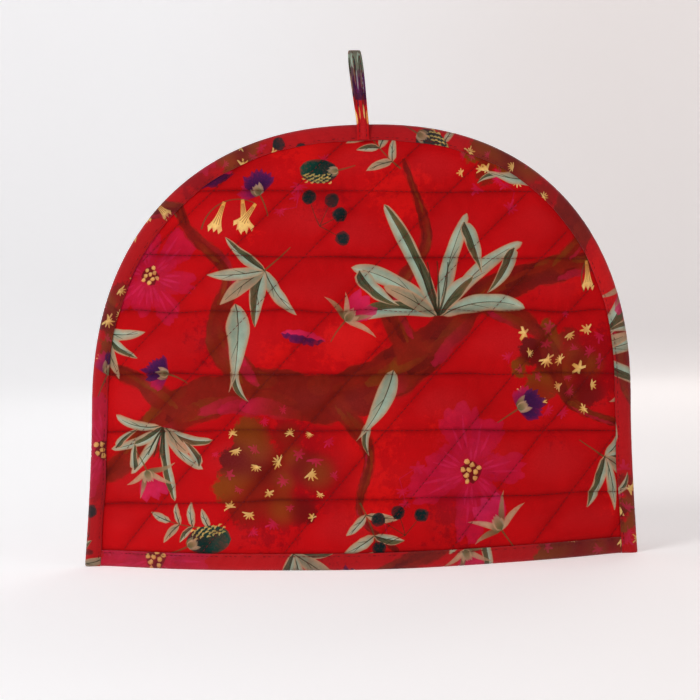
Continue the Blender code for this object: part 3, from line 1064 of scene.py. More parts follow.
def on_wall(x, height, offset, side):
    """Points of a panel: offset is level, out from its middle layer."""
    step = 0.0002
    slope = (opening(x + step, height, side) - opening(x - step, height, side)) / (2 * step)
    length = np.hypot(1, slope)
    y = opening(x, height, side) + offset / length
    return np.column_stack([x - slope * offset / length, side * np.maximum(y, GAP / 2), height])


def edge_track():
    """The bound edge in metres, from the left foot over the arch to the right foot."""
    t = np.linspace(0, 1, 8001)
    side_share = (1 - ARCH_SHARE) / 2
    turn = np.clip(math.pi * (1 - (t - side_share) / ARCH_SHARE), 0, math.pi)
    arch_x = (WIDTH / 2 - SIDE_TAPER) * np.sign(np.cos(turn)) * np.abs(np.cos(turn)) ** (2 / ARCH_POWER)
    arch_height = SPRING_HEIGHT + (HEIGHT - SPRING_HEIGHT) * np.sin(turn) ** (2 / ARCH_POWER)
    foot_height = SPRING_HEIGHT * np.minimum(t, 1 - t) / side_share
    foot_x = np.sign(t - 0.5) * half_width(foot_height)
    on_arch = (t > side_share) & (t < 1 - side_share)
    height = np.where(on_arch, arch_height, foot_height)
    x = np.where(on_arch, arch_x, foot_x) + LEAN * height
    return track(np.column_stack([x, height]), 2400)


EDGE = edge_track()


def edge_place(run):
    """Points of the bound edge and the ways in from it, level at its two feet."""
    spots, lefts = EDGE.at(run)
    ways = -lefts
    levelled = np.clip(spots[:, 1] / FOOT_LEVEL, 0, 1)
    ways[:, 1] *= levelled**2 * (3 - 2 * levelled)
    return spots, unit(ways)


def panel_outline(side):
    """The panel's cut edge, laid flat, in millimetres."""
    foot = HEM_CLOTH + GAP
    runs = np.arange(0, EDGE.length, CREASE_STEP / MM)
    spots, ways = edge_place(runs)
    arch = spots + ways * PANEL_EDGE_INSET
    arch = arch[arch[:, 1] > foot + 0.001]
    reach = float(half_width(np.array(foot), PANEL_EDGE_INSET))
    left, right = (s * reach + LEAN * foot for s in (-1, 1))
    bottom = np.linspace((right, foot), (left, foot), round((right - left) * MM / CREASE_STEP))
    outline = np.vstack([arch, bottom]) * MM
    outline[:, 0] *= -side
    return outline if side == FRONT else outline[::-1]


def row_height(row, u):
    """The height of a stitched row at u, on the curve through its three heights."""
    left, middle, right = row
    across = u / ROW_HALF_SPAN
    curve = middle + across * (right - left) / 2 + across**2 * ((right + left) / 2 - middle)
    return curve + ROW_WANDER * ripple(u, WANDER_PITCH, round(middle * 1e5))


def slant(height):
    """How far a slanting line has gone sideways at a height."""
    rise = height - DIAGONAL_LEVEL
    return DIAGONAL_RUN * rise + DIAGONAL_BEND * rise**2


def pillow(distance, reach, pull):
    """0 on a seam, rising steeply beside it and then softly to 1 at reach."""
    near = 1 - np.exp(-distance / pull)
    broad = 1 - (1 - np.clip(distance / reach, 0, 1)) ** 2
    return SEAM_SHARE * near + (1 - SEAM_SHARE) * broad


def edge_distance(x, height):
    """How far points lie inside the bound edge's inner line."""
    level = np.abs(x - LEAN * height)
    low, high = np.zeros(len(x)), np.full(len(x), WIDTH / 2)
    for _ in range(20):
        middle = (low + high) / 2
        within = (height < HEIGHT - middle) & (level < half_width(height, middle))
        low, high = np.where(within, middle, low), np.where(within, high, middle)
    return low - BINDING_WIDTH


def seam_distances(points):
    """How far flat points in metres lie from a level row and from a slanting line."""
    u, height = points.T
    rows = [np.abs(height - row_height(row, u)) for row in QUILT_ROWS]
    level_row = np.min([*rows, np.abs(height - HEM_WIDTH)], axis=0)
    level = (u - DIAGONAL_START - slant(height)) / DIAGONAL_PITCH
    aside = np.abs((level + 0.5) % 1 - 0.5) * DIAGONAL_PITCH
    return level_row, aside / math.hypot(1, DIAGONAL_RUN)


def puckered(distance, along, drift):
    """Small creases from -1 to 1 that start at a seam, run off across it and die out."""
    share = np.exp(-distance / PUCKER_REACH) * (1 - np.exp(-distance / PUCKER_START))
    return share * np.sin(along * math.tau / PUCKER_PITCH + drift)


def quilt_relief(points, side):
    """The wadding's share of its full height, and the small puckers beside its seams."""
    u, height = points.T
    level_row, aside = seam_distances(points)
    groove = DIAGONAL_DEPTH * (1 - pillow(aside, DIAGONAL_REACH, SLANT_PULL))
    edge = np.maximum(edge_distance(-side * u, height), 0)
    open_share = pillow(edge, EDGE_REACH, ROW_PULL) * (height > HEM_WIDTH)
    relief = pillow(level_row, PILLOW_REACH, ROW_PULL) * open_share * (1 - groove)
    relief *= 1 + PUFF_UNEVEN * ripple(points, PUFF_PITCH, 40 + side)
    row_puckers = puckered(level_row, u, PUCKER_DRIFT * ripple(points, DRIFT_PITCH, 50 + side))
    slant_puckers = puckered(aside, height, PUCKER_DRIFT * ripple(points, DRIFT_PITCH, 60 + side))
    puckers = PUCKER * open_share * (row_puckers + SLANT_PUCKER * slant_puckers)
    return relief, puckers


def level_rows():
    """The level stitched rows on the flat panel, in millimetres."""
    u = np.arange(-WIDTH / 2, WIDTH / 2, CREASE_STEP / MM)
    return [np.column_stack([u, row_height(row, u)]) * MM for row in QUILT_ROWS]


def slanting_lines():
    """The slanting stitched lines on the flat panel, in millimetres."""
    lines = []
    height = np.arange(HEM_WIDTH, HEIGHT, CREASE_STEP / MM)
    for number in DIAGONALS:
        aside = DIAGONAL_START + number * DIAGONAL_PITCH + slant(height)
        line = np.column_stack([aside, height]) * MM
        line = line[np.abs(aside) < WIDTH / 2]
        if len(line) > 4:
            lines.append(line)
    return lines


def beside(line, offset):
    """A line at an offset to the left of another."""
    return line + leftward(line) * offset


def on_quilt(points, face, side):
    """Where a panel's flat points come to lie, on its outer (1) or inner (-1) face."""
    flat = points / MM
    relief, puckers = quilt_relief(flat, side)
    puff = PUFF_OUT if face > 0 else PUFF_IN
    offset = face * (SEAM_THICK / 2 + puff * relief + (puckers if face > 0 else 0))
    return on_wall(-side * flat[:, 0], flat[:, 1], offset, side)


def panel(name, side, inks, window, materials):
    """A quilted panel of printed cloth, with plain cloth inside."""
    outline = panel_outline(side)
    rows, slants = level_rows(), slanting_lines()
    along = np.arange(-HEM_LINE_REACH, HEM_LINE_REACH, CREASE_STEP)
    hem_line = np.column_stack([along, np.full(len(along), HEM_WIDTH * MM)])
    creases = [beside(line, offset) for line in rows for offset in ROW_CREASES]
    creases += [beside(line, offset) for line in slants for offset in SLANT_CREASES]

    def place(points, face):
        return on_quilt(points, face, side)

    # Shade painted along the seams: a dark line on each and a softer band further out.
    def painted_shade_beside_seams(points):
        level_row, aside = seam_distances(points / MM)
        line = np.maximum(np.exp(-level_row / ROW_DARK), SLANT_SHARE * np.exp(-aside / SLANT_DARK))
        shade = np.maximum(np.exp(-level_row / SOFT_DARK), np.exp(-aside / SOFT_DARK))
        uneven = 1 + SEAM_UNEVEN * ripple(points / MM, SEAM_PITCH, 90 + side)
        return uneven * (line * (1 - SOFT_SHARE) + shade * SOFT_SHARE)

    def worn(points):
        relief, _ = quilt_relief(points / MM, side)
        return np.clip(relief - PUFF_CREST, 0, 1)

    shown = cut_from_print(inks, outline, *window)
    return sewn(
        name, outline, creases + [hem_line], shown, place, PANEL_STEP, materials,
        painted_shade_beside_seams, worn, inner_creases=rows + slants,
    )


def strip_outline(length, width):
    """A long cut strip, laid flat, with its length along x."""
    along = np.linspace(0, length, round(length / CREASE_STEP))
    across = np.linspace(0, width, round(width / CREASE_STEP))[1:-1]
    low, high = np.full(len(along), 0.0), np.full(len(along), width)
    right = np.column_stack([np.full(len(across), length), across])
    left = np.column_stack([np.zeros(len(across)), across[::-1]])
    return np.vstack([
        np.column_stack([along, low]), right,
        np.column_stack([along[::-1], high]), left,
    ])


def strip_creases(length, width):
    """Lines beside a strip's two long edges, where its cloth turns under."""
    along = np.arange(FOLD_ENDS[0], length - FOLD_ENDS[1], STRIP_STEP)
    levels = [*FOLD_INSETS, *(width - inset for inset in FOLD_INSETS)]
    return [np.column_stack([along, np.full(len(along), level)]) for level in levels]


def rounded(points, strip):
    """The share of a strip's thickness that is left towards its turned edges."""
    along, across = points.T
    from_edge = np.minimum(across, strip.width - across)
    if strip.turned_ends:
        from_edge = np.min([from_edge, along, strip.length - along], axis=0)
    share = np.clip(from_edge / MM / EDGE_ROUND, 0, 1)
    return np.sqrt(1 - (1 - share) ** 2)


def stitch_dimple(from_end):
    """How deep a strip is drawn in along its stitching."""
    return STITCH_DIMPLE * np.exp(-(((from_end - STITCH_IN) / STITCH_REACH) ** 2))


def swell(from_end, strip, roll):
    """How far a strip's wadding rounds out each of its two sides."""
    leg = min(strip.width / 2 / MM, BINDING_WIDTH * ROLL_SHARE)
    return roll * np.sin(math.pi * np.clip(from_end / leg, 0, 1))


class Strip(NamedTuple):
    """A folded strip, with its flat size in millimetres.

    lay turns (along, across) so that the printed side faces out, and
    place(points, depth) brings such points to their place.
    """

    length: float
    width: float
    lay: np.ndarray
    place: object
    turned_ends: bool = True


def binding_strip():
    """The strip that is folded over the edges of both panels, from foot to foot."""
    radius = GAP / 2 + SEAM_THICK + GAP + BINDING_CLOTH / 2
    turn_in = BINDING_CLOTH / 2 + radius
    leg = BINDING_WIDTH - turn_in
    arc = math.pi * radius

    def place(points, depth):
        run, across = points[:, 0] / MM, points[:, 1] / MM
        spots, ways = edge_place(run)
        turn = np.clip((across - leg) / radius, 0, math.pi)
        out = radius + depth
        beyond = np.maximum(leg - across, across - leg - arc)
        above_foot = np.clip(np.minimum(run, EDGE.length - run) / HEM_WIDTH - 1, 0, 1)
        wander = EDGE_WANDER * above_foot * ripple(run + FACE_SHIFT * (across > leg), EDGE_PITCH, 71)
        reach = np.clip(beyond, 0, leg)
        inset = turn_in - out * np.sin(turn) + reach * (1 + wander / leg)
        away = -out * np.cos(turn)
        spot = spots + ways * inset[:, None]
        return np.column_stack([spot[:, 0], away, spot[:, 1]])

    return Strip(EDGE.length * MM, (2 * leg + arc) * MM, np.eye(2), place)


def hem_section():
    """The hem strip's middle layer as (offset, height), from its outer edge down and round."""
    wide = SEAM_THICK / 2 + GAP + HEM_CLOTH / 2
    low = HEM_CLOTH / 2
    turn = np.linspace(0, math.pi, 80)
    power = 2 / HEM_SQUARENESS
    offset = wide * np.sign(np.cos(turn)) * np.abs(np.cos(turn)) ** power
    height = HEM_FOLD - (HEM_FOLD - low) * np.sin(turn) ** power
    leg = np.linspace((wide, HEM_WIDTH), (wide, HEM_FOLD), 20)[:-1]
    back_leg = leg[::-1] * [-1, 1]
    return track(np.vstack([leg, np.column_stack([offset, height]), back_leg]), 600)


def hem_strip(side):
    """The strip that is folded over the bottom edge of a panel, inside the binding's two ends."""
    section = hem_section()
    reach = float(half_width(np.array(0.0), BINDING_WIDTH + GAP))

    def place(points, depth):
        spots, outs = section.at(-points[:, 1] / MM)
        spots = spots + outs * depth[:, None]
        share = points[:, 0] / MM / reach - 1
        near = np.clip(spots[:, 1], 0, HEM_WIDTH)
        x = -side * share * half_width(near, BINDING_WIDTH + HEM_END_GAP) + LEAN * near
        return on_wall(x, np.maximum(spots[:, 1], 0), spots[:, 0], side)

    return Strip(2 * reach * MM, section.length * MM, np.diag([1.0, -1.0]), place, False)


def loop_track():
    """The loop's middle layer as (y, height), from its front end over the top."""
    stand = GAP / 2 + SEAM_THICK + 2 * GAP + BINDING_CLOTH + BINDING_ROLL
    t = np.linspace(0, 1, 4001)
    up = np.minimum(t, 1 - t)
    down = LOOP_TAIL * (1 - np.minimum(up / LEG_SHARE, 1))
    kick = LOOP_TAIL_KICK * (down / LOOP_TAIL) ** 2
    turn = math.pi * np.clip((t - LEG_SHARE) / (1 - 2 * LEG_SHARE), 0, 1)
    rise = np.sin(turn) ** (2 / LOOP_SQUARENESS)
    sideways = np.abs(np.cos(turn)) ** (2 / LOOP_SQUARENESS)
    bowed = stand * sideways + LOOP_BELLY * np.sin(math.pi * rise) * sideways
    on_leg = up < LEG_SHARE
    y = np.sign(t - 0.5) * np.where(on_leg, stand + kick, bowed)
    height = np.where(on_leg, HEIGHT - down, HEIGHT + LOOP_RISE * rise)
    line = track(np.column_stack([y, height]), 1200)
    return track(line.points + line.lefts * LOOP_CLOTH / 2, 1200)


def loop_strip():
    """The narrow strip of the hanging loop, sewn over the binding in front and behind."""
    line = loop_track()

    def place(points, depth):
        spots, outs = line.at(points[:, 1] / MM)
        spots = spots + outs * depth[:, None]
        rise = np.maximum(spots[:, 1] - HEIGHT, 0)
        turn = LOOP_TWIST * np.minimum(rise / LOOP_RISE, 1) ** TWIST_POWER
        across = points[:, 0] / MM - LOOP_WIDTH / 2
        x = across * np.cos(turn) - spots[:, 0] * np.sin(turn)
        y = across * np.sin(turn) + spots[:, 0] * np.cos(turn)
        return np.column_stack([LOOP_X + LOOP_LEAN * rise + x, y, spots[:, 1]])

    return Strip(line.length * MM, LOOP_WIDTH * MM, np.eye(2)[::-1], place)


# ---------------------------------------------------------------- shader arithmetic


class Amount:
    """A shader socket that takes part in plain arithmetic."""

    def __init__(self, shader, socket):
        self.shader = shader
        self.socket = socket

    def other(self, output):
        """Another output of the same node."""
        return Amount(self.shader, self.socket.node.outputs[output])

    def combined(self, operation, *values):
        settings = {"operation": operation}
        return self.shader.add("ShaderNodeMath", settings, dict(enumerate(values)))

    def __add__(self, other):
        return self.combined("ADD", self, other)

    def __mul__(self, other):
        return self.combined("MULTIPLY", self, other)

    def __sub__(self, other):
        return self.combined("SUBTRACT", self, other)

    def __rsub__(self, other):
        return self.combined("SUBTRACT", other, self)

    __radd__ = __add__
    __rmul__ = __mul__

    def sine(self):
        return self.combined("SINE", self)


class Shader:
    """One material's node tree."""

    def __init__(self, name):
        self.material = bpy.data.materials.new(name)
        self.material.use_nodes = True
        self.tree = self.material.node_tree
        self.surface = self.tree.nodes["Principled BSDF"]

    def add(self, kind, settings=None, values=None, output=0):
        """A node, its settings made first, with its sockets linked or set."""
        node = self.tree.nodes.new(kind)
        for name, value in (settings or {}).items():
            setattr(node, name, value)
        for name, value in (values or {}).items():
            self.feed(node.inputs[name], value)
        return Amount(self, node.outputs[output])

    def feed(self, socket, value):
        """Links an amount to a socket, or sets a plain value on it."""
        if isinstance(value, Amount):
            self.tree.links.new(value.socket, socket)
        else:
            socket.default_value = value

    def mixed(self, share, first, second, blend="MIX"):
        """Two colours mixed, by their own Mix node's colour sockets."""
        settings = {"data_type": "RGBA", "blend_type": blend}
        return self.add("ShaderNodeMix", settings, {0: share, 6: first, 7: second}, output=2)

    def between(self, value, low, high):
        """0 below low and 1 above high, with a soft step between them."""
        values = {"Value": value, "From Min": low, "From Max": high}
        return self.add("ShaderNodeMapRange", {"interpolation_type": "SMOOTHSTEP"}, values)

    def noise(self, place, scale, detail=2.0, roughness=0.5):
        """Uneven amounts round a half, with scale cells to the metre."""
        values = {"Vector": place, "Scale": scale, "Detail": detail, "Roughness": roughness}
        return self.add("ShaderNodeTexNoise", {}, values)

    def finish(self, **values):
        """Feeds the surface's own sockets, named with _ for a space."""
        for name, value in values.items():
            self.feed(self.surface.inputs[name.replace("_", " ")], value)
        return self.material


THREAD_PITCH = 0.00042
THREAD_SWAY = 3.0  # in radians, how far slubs push the threads aside
# The cloth's unevenness: cells to the metre, octaves and roughness.
SLUB = (260.0, 3.0)
GRAIN = (900.0, 2.0)
WASH = (17.0, 3.0, 0.55)
BRUSHED = (95.0, 5.0, 0.68)
FILM = (42.0, 6.0, 0.72)
RAGGED = (230.0, 5.0, 0.70)
# The soft steps of the dyes, from where they start to where they are full.
SOAKED = (0.24, 0.46)
DRY = (0.46, 0.80)
FLECKED = (0.52, 0.80)
STAIN_COVER = 0.9
DRY_SHARE = 0.26  # of a dry brush's ink, where the ground shows through most
FLECK_SHARE = 0.16
# A pale tint for rubbed cloth, also painted in as a haze that stands in for sheen.
WEAR_AND_SHEEN_PALE = (0.60, 0.30, 0.36, 1.0)
PALE_FIBRE = (1.0, 0.60, 0.66, 1.0)
# The surround's painted light: cool towards the window, warm away from it, and a soft glow of its own.
COOL_WHITE = (0.905, 0.90, 0.91, 1.0)
WARM_WHITE = (0.81, 0.76, 0.745, 1.0)
SURROUND_GLOW = 0.41
RED_YARN = (0.075, 0.002, 0.004)
YARN_HIGHLIGHT = 2.1  # how much lighter the painted highlight on the top of its twist is, laid in random flecks


def print_on(shader, cloth, grain, brushed):
    """The dyes on the red ground, and how much ink covers it."""
    dye = shader.add("ShaderNodeAttribute", {"attribute_name": "print"})
    cover = dye.other("Alpha")
    blot = shader.add("ShaderNodeAttribute", {"attribute_name": "stain"})
    ragged = shader.noise(cloth, *RAGGED)
    spread = blot.other("Alpha") + (ragged - 0.5) * 1.1 + (brushed - 0.5) * 0.6
    ground = shader.mixed(shader.between(spread, *SOAKED) * STAIN_COVER, (*linear(RED), 1.0), blot)
    dry = shader.between(shader.noise(cloth, *FILM), *DRY) * DRY_SHARE
    flecked = shader.between(grain, *FLECKED) * FLECK_SHARE
    return shader.mixed(cover * (1 - (dry + flecked)), ground, dye), cover


def woven(shader, cloth, slub):
    """Crossing threads, from 0 between them to 1 on top of them."""
    across = shader.add("ShaderNodeSeparateXYZ", {}, {0: cloth})
    turns = math.tau / THREAD_PITCH
    warp = (across * turns + slub * THREAD_SWAY).sine()
    weft = (across.other(1) * turns + slub * THREAD_SWAY).sine()
    return warp * weft * 0.5 + 0.5


def printed_cotton(name, sheen, depth=1.0, painted_sheen=0.0):
    """Woven printed cotton: its dyes, its threads, and the shade painted along its seams.

    depth scales its whole colour, and the last argument pales it with a haze painted in for sheen.
    """
    shader = Shader(name)
    cloth = shader.add("ShaderNodeUVMap", {"uv_map": "cloth"})
    painted_seam_shade = shader.add("ShaderNodeAttribute", {"attribute_name": "painted_seam_shade"}, output=2)
    rubbed = shader.add("ShaderNodeAttribute", {"attribute_name": "worn"}, output=2)
    slub, grain = shader.noise(cloth, *SLUB), shader.noise(cloth, *GRAIN)
    wash, brushed = shader.noise(cloth, *WASH), shader.noise(cloth, *BRUSHED)
    weave = woven(shader, cloth, slub)
    inked, cover = print_on(shader, cloth, grain, brushed)
    uneven_ground = (wash - 0.5) * (1 - cover) * 0.45
    uneven_ink = (brushed - 0.5) * (cover * 0.6 + 0.12)
    threads = (grain - 0.5) * 0.18 + (weave - 0.5) * 0.22
    # The shade painted along the seams darkens the colour there.
    strength = (depth + uneven_ground + uneven_ink + threads) * (1 - painted_seam_shade * SEAM_SHADE_STRENGTH)
    grey = shader.add("ShaderNodeCombineColor", {}, {0: strength, 1: strength, 2: strength})
    colour = shader.mixed(1.0, inked, grey, "MULTIPLY")
    # Rubbed crests pale a little, and a haze painted in for sheen pales the whole cloth.
    worn_and_sheen_paled = shader.mixed(rubbed * 0.05 * grain + painted_sheen, colour, WEAR_AND_SHEEN_PALE)
    height = weave * 0.6 + grain * 0.45 + slub * 0.5
    bump = shader.add("ShaderNodeBump", {}, {"Strength": 0.55, "Distance": 0.00022, "Height": height})
    return shader.finish(
        Base_Color=worn_and_sheen_paled,
        Roughness=0.74 + (grain - 0.5) * 0.16 - cover * 0.03,
        Normal=bump,
        Specular_IOR_Level=0.05,
        Sheen_Weight=sheen,
        Sheen_Roughness=0.45,
        Sheen_Tint=PALE_FIBRE,
    )


def thread(name, colour):
    """Two-ply sewing thread, with lighter flecks painted in as highlights on its twist."""
    shader = Shader(name)
    place = shader.add("ShaderNodeTexCoord", output="Object")
    fleck = shader.noise(place, 2400.0, 2.0)
    # Lighter flecks painted in as highlights on the twist.
    light = [min(1.0, share * YARN_HIGHLIGHT) for share in colour]
    tone = shader.mixed(fleck, (*colour, 1.0), (*light, 1.0))
    bump = shader.add("ShaderNodeBump", {}, {"Strength": 0.5, "Distance": 0.0001, "Height": fleck})
    return shader.finish(
        Base_Color=tone, Roughness=0.7 + fleck * 0.15, Normal=bump, Specular_IOR_Level=0.15
    )


def pale_surround(name):
    """The plain pale floor and wall: painted cool on the window side and warm away from it, as that light
    would tint them, and glowing softly of themselves as well as being lit.
    """
    shader = Shader(name)
    place = shader.add("ShaderNodeTexCoord", output="Object")
    cloud = shader.noise(place, 1.6, 2.0)
    across = shader.add("ShaderNodeSeparateXYZ", {}, {0: place})
    painted_warmth = shader.between(across + (cloud - 0.5) * 0.2, -0.5, 0.6)
    tone = shader.mixed(painted_warmth, COOL_WHITE, WARM_WHITE)
    return shader.finish(
        Base_Color=tone,
        Roughness=0.9 + cloud * 0.05,
        Emission_Color=tone,
        Emission_Strength=SURROUND_GLOW,
    )


# ---------------------------------------------------------------- stitches


def stitch_tree():
    """Lays a small rounded stitch every pitch along guide lines, flat to the cloth."""
    tree = bpy.data.node_groups.new("machine_stitches", "GeometryNodeTree")
    face = tree.interface
    face.new_socket("Guides", in_out="INPUT", socket_type="NodeSocketGeometry")
    for label in STITCH_SIZES:
        face.new_socket(label, in_out="INPUT", socket_type="NodeSocketFloat")
    face.new_socket("Thread", in_out="INPUT", socket_type="NodeSocketMaterial")
    face.new_socket("Stitches", in_out="OUTPUT", socket_type="NodeSocketGeometry")

    def node(kind, settings=None, links=None):
        made = tree.nodes.new(kind)
        for key, value in (settings or {}).items():
            setattr(made, key, value)
        for key, value in (links or {}).items():
            if isinstance(value, bpy.types.NodeSocket):
                tree.links.new(value, made.inputs[key])
            else:
                made.inputs[key].default_value = value
        return made

    given = node("NodeGroupInput").outputs
    curve = node("GeometryNodeMeshToCurve", links={"Mesh": given["Guides"]}).outputs[0]
    spaced = node(
        "GeometryNodeResampleCurve", {"mode": "LENGTH"}, {"Curve": curve, "Length": given["Pitch"]}
    ).outputs[0]
    bead = node("GeometryNodeMeshUVSphere", links={"Segments": 6, "Rings": 4, "Radius": 0.5})
    out = node("GeometryNodeInputNamedAttribute", {"data_type": "FLOAT_VECTOR"}, {"Name": "away"})
    tangent = node("GeometryNodeInputTangent")
    facing = node(
        "FunctionNodeAxesToRotation",
        {"primary_axis": "X", "secondary_axis": "Z"},
        {"Primary Axis": tangent.outputs[0], "Secondary Axis": out.outputs[0]},
    )
    size = node(
        "ShaderNodeCombineXYZ",
        links={"X": given["Length"], "Y": given["Width"], "Z": given["Rise"]},
    )
    laid = node(
        "GeometryNodeInstanceOnPoints",
        links={
            "Points": spaced,
            "Instance": bead.outputs["Mesh"],
            "Rotation": facing.outputs[0],
            "Scale": size.outputs[0],
        },
    )
    solid = node("GeometryNodeRealizeInstances", links={"Geometry": laid.outputs[0]})
    dressed = node(
        "GeometryNodeSetMaterial",
        links={"Geometry": solid.outputs[0], "Material": given["Thread"]},
    )
    node("NodeGroupOutput", links={"Stitches": dressed.outputs[0]})
    return tree


def stitches(name, lines, tree, yarn):
    """Stitches along lines of (points, ways out of the cloth), as one plain mesh."""
    points = np.vstack([line for line, _ in lines])
    ways = np.vstack([way for _, way in lines])
    sides, first = [], 0
    for line, _ in lines:
        sides += [(first + k, first + k + 1) for k in range(len(line) - 1)]
        first += len(line)
    data = bpy.data.meshes.new(name)
    data.from_pydata(points.tolist(), sides, [])
    data.attributes.new("away", "FLOAT_VECTOR", "POINT").data.foreach_set("vector", ways.ravel())
    guide = linked(name + "_guide", data)
    modifier = guide.modifiers.new("stitches", "NODES")
    modifier.node_group = tree
    given = {"Thread": yarn, **STITCH_SIZES}
    for item in tree.interface.items_tree:
        if item.in_out == "INPUT" and item.name in given:
            modifier[item.identifier] = given[item.name]
    graph = bpy.context.evaluated_depsgraph_get()
    made = bpy.data.meshes.new_from_object(guide.evaluated_get(graph))
    guide.modifiers.remove(modifier)
    bpy.data.objects.remove(guide)
    made.name = name
    made.shade_smooth()
    return linked(name, made)


def outward(place, points):
    """The ways out of a face, from how its place changes along the flat cloth."""
    step = 0.05
    ahead = place(points + [step, 0]) - place(points - [step, 0])
    aside = place(points + [0, step]) - place(points - [0, step])
    return unit(np.cross(ahead, aside))


def sewn_lines(place, lines):
    """Guide lines on a face, lifted a little off it."""
    guides = []
    for line in lines:
        ways = outward(place, line)
        guides.append((place(line) + ways * STITCH_LIFT, ways))
    return guides


# ---------------------------------------------------------------- pieces


def quilt_stitches(name, side, tree, yarn):
    """The machined lines that show between the binding and the hem."""

    def place(points):
        return on_quilt(points, 1, side)

    shown = []
    for line in level_rows() + slanting_lines():
        u, height = line.T / MM
        clear = (edge_distance(-side * u, height) > STITCH_CLEAR) & (height > HEM_WIDTH + STITCH_CLEAR)
        changes = np.nonzero(np.diff(clear.astype(int)))[0] + 1
        runs, kept = np.split(line, changes), np.split(clear, changes)
        shown += [run for run, keep in zip(runs, kept) if keep[0] and len(run) > 3]
    return stitches(name, sewn_lines(place, shown), tree, yarn)


def folded_strip(name, strip, inks, window, material, thickness, roll=0.0):
    """A folded strip with turned edges, a stitched dimple and soft drag lines."""
    outline = strip_outline(strip.length, strip.width) @ strip.lay
    if np.linalg.det(strip.lay) < 0:
        outline = outline[::-1]
    creases = [line @ strip.lay for line in strip_creases(strip.length, strip.width)]

    def from_end(points):
        across = (points @ strip.lay)[:, 1]
        return np.minimum(across, strip.width - across) / MM

    # Shade painted along the stitched dimple.
    def painted_shade_beside_seams(points):
        return STITCH_SHADE * np.exp(-(((from_end(points) - STITCH_IN) / SHADE_REACH) ** 2))

    def worn(points):
        middle = np.abs((points @ strip.lay)[:, 1] - strip.width / 2) / MM
        return np.exp(-((middle / CREST_WEAR) ** 2))

    def place(points, face):
        measured = points @ strip.lay
        turned = rounded(measured, strip)
        raised = 0.0
        if face > 0:
            ends = from_end(points)
            drag = DRAG * (1 - worn(points)) * ripple(measured @ DRAG_LEAN / MM, DRAG_PITCH, 81)
            raised = swell(ends, strip, roll) + drag - stitch_dimple(ends)
        return strip.place(points, face * (thickness / 2 + raised) * turned)

    shown = cut_from_print(inks, outline, *window)
    return sewn(name, outline, creases, shown, place, STRIP_STEP, [material], painted_shade_beside_seams, worn)


def strip_stitches(name, strip, thickness, tree, yarn, roll=0.0):
    """The machined lines along both edges of a folded strip."""
    along = np.arange(GUIDE_ENDS[0], strip.length - GUIDE_ENDS[1], GUIDE_STEP)
    levels = (STITCH_IN * MM, strip.width - STITCH_IN * MM)
    lines = [np.column_stack([along, np.full(len(along), level)]) @ strip.lay for level in levels]
    face = thickness / 2 - STITCH_DIMPLE + swell(STITCH_IN, strip, roll)

    def place(points):
        return strip.place(points, np.full(len(points), face))

    return stitches(name, sewn_lines(place, lines), tree, yarn)


# ---------------------------------------------------------------- surround, light and camera

AIM = Vector((-0.0037, 0.0, 0.1295))
CAMERA_DISTANCE = 1.5
CAMERA_RISE = math.radians(2.0)
CAMERA_ROLL = math.radians(-1.45)
LENS = 125.1
SENSOR = 36.0

COVE_FLAT = 2.3  # how far the floor is level
COVE_WALL = 3.7  # how far away the wall is
COVE_HEIGHT = 1.7

LIT_MIDDLE = Vector((0.0, 0.0, 0.12))
LAMPS = (
    # name, place, width, power in watts, colour
    ("window_key", (-1.8, -2.2, 1.7), 1.4, 45.0, (0.98, 0.99, 1.0)),
    ("warm_fill", (1.7, -1.5, 0.6), 1.2, 8.0, (1.0, 0.92, 0.86)),
    ("top_soft", (0.1, 0.1, 2.4), 1.4, 1.5, (1.0, 0.98, 0.96)),
    ("cool_side", (-1.9, 0.1, 0.7), 0.9, 6.0, (0.92, 0.96, 1.0)),
    ("back_soft", (0.6, 2.0, 1.2), 1.2, 9.0, (1.0, 0.98, 0.96)),
)
ROOM_LIGHT = (0.95, 0.96, 1.0, 1.0)
ROOM_STRENGTH = 0.14


def cove():
    """A pale floor that turns up into a round wall, a turned profile all round."""
    turn = np.linspace(0, math.pi / 2, 17)
    radius = COVE_WALL - COVE_FLAT
    profile = [(0.0, 0.0), (0.4, 0.0), (1.2, 0.0)]
    profile += [(COVE_FLAT + radius * math.sin(a), radius * (1 - math.cos(a))) for a in turn]
    profile.append((COVE_WALL, COVE_HEIGHT))
    mesh = bmesh.new()
    corners = [mesh.verts.new((x, 0, z)) for x, z in profile]
    sides = [mesh.edges.new(pair) for pair in zip(corners, corners[1:])]
    bmesh.ops.spin(mesh, geom=corners + sides, cent=(0, 0, 0), axis=(0, 0, 1), angle=math.tau, steps=96)
    bmesh.ops.remove_doubles(mesh, verts=mesh.verts, dist=1e-5)
    bmesh.ops.recalc_face_normals(mesh, faces=mesh.faces)
    data = bpy.data.meshes.new("pale_cove")
    mesh.to_mesh(data)
    mesh.free()
    data.materials.append(pale_surround("pale_paint"))
    data.shade_smooth()
    linked("pale_cove", data)


def soft_light(name, place, size, power, colour):
    """A round soft lamp that faces the middle of the cosy."""
    data = bpy.data.lights.new(name, "AREA")
    data.shape = "DISK"
    data.size = size
    data.energy = power
    data.color = colour
    lamp = linked(name, data)
    lamp.location = place
    lamp.rotation_euler = (LIT_MIDDLE - Vector(place)).to_track_quat("-Z", "Y").to_euler()


def lighting():
    """The lamps and a faint even light from all round."""
    for lamp in LAMPS:
        soft_light(*lamp)
    world = bpy.data.worlds.new("pale_room")
    world.use_nodes = True
    backdrop = world.node_tree.nodes["Background"]
    backdrop.inputs["Color"].default_value = ROOM_LIGHT
    backdrop.inputs["Strength"].default_value = ROOM_STRENGTH
    scene = bpy.context.scene
    scene.world = world
    scene.view_settings.view_transform = "Standard"


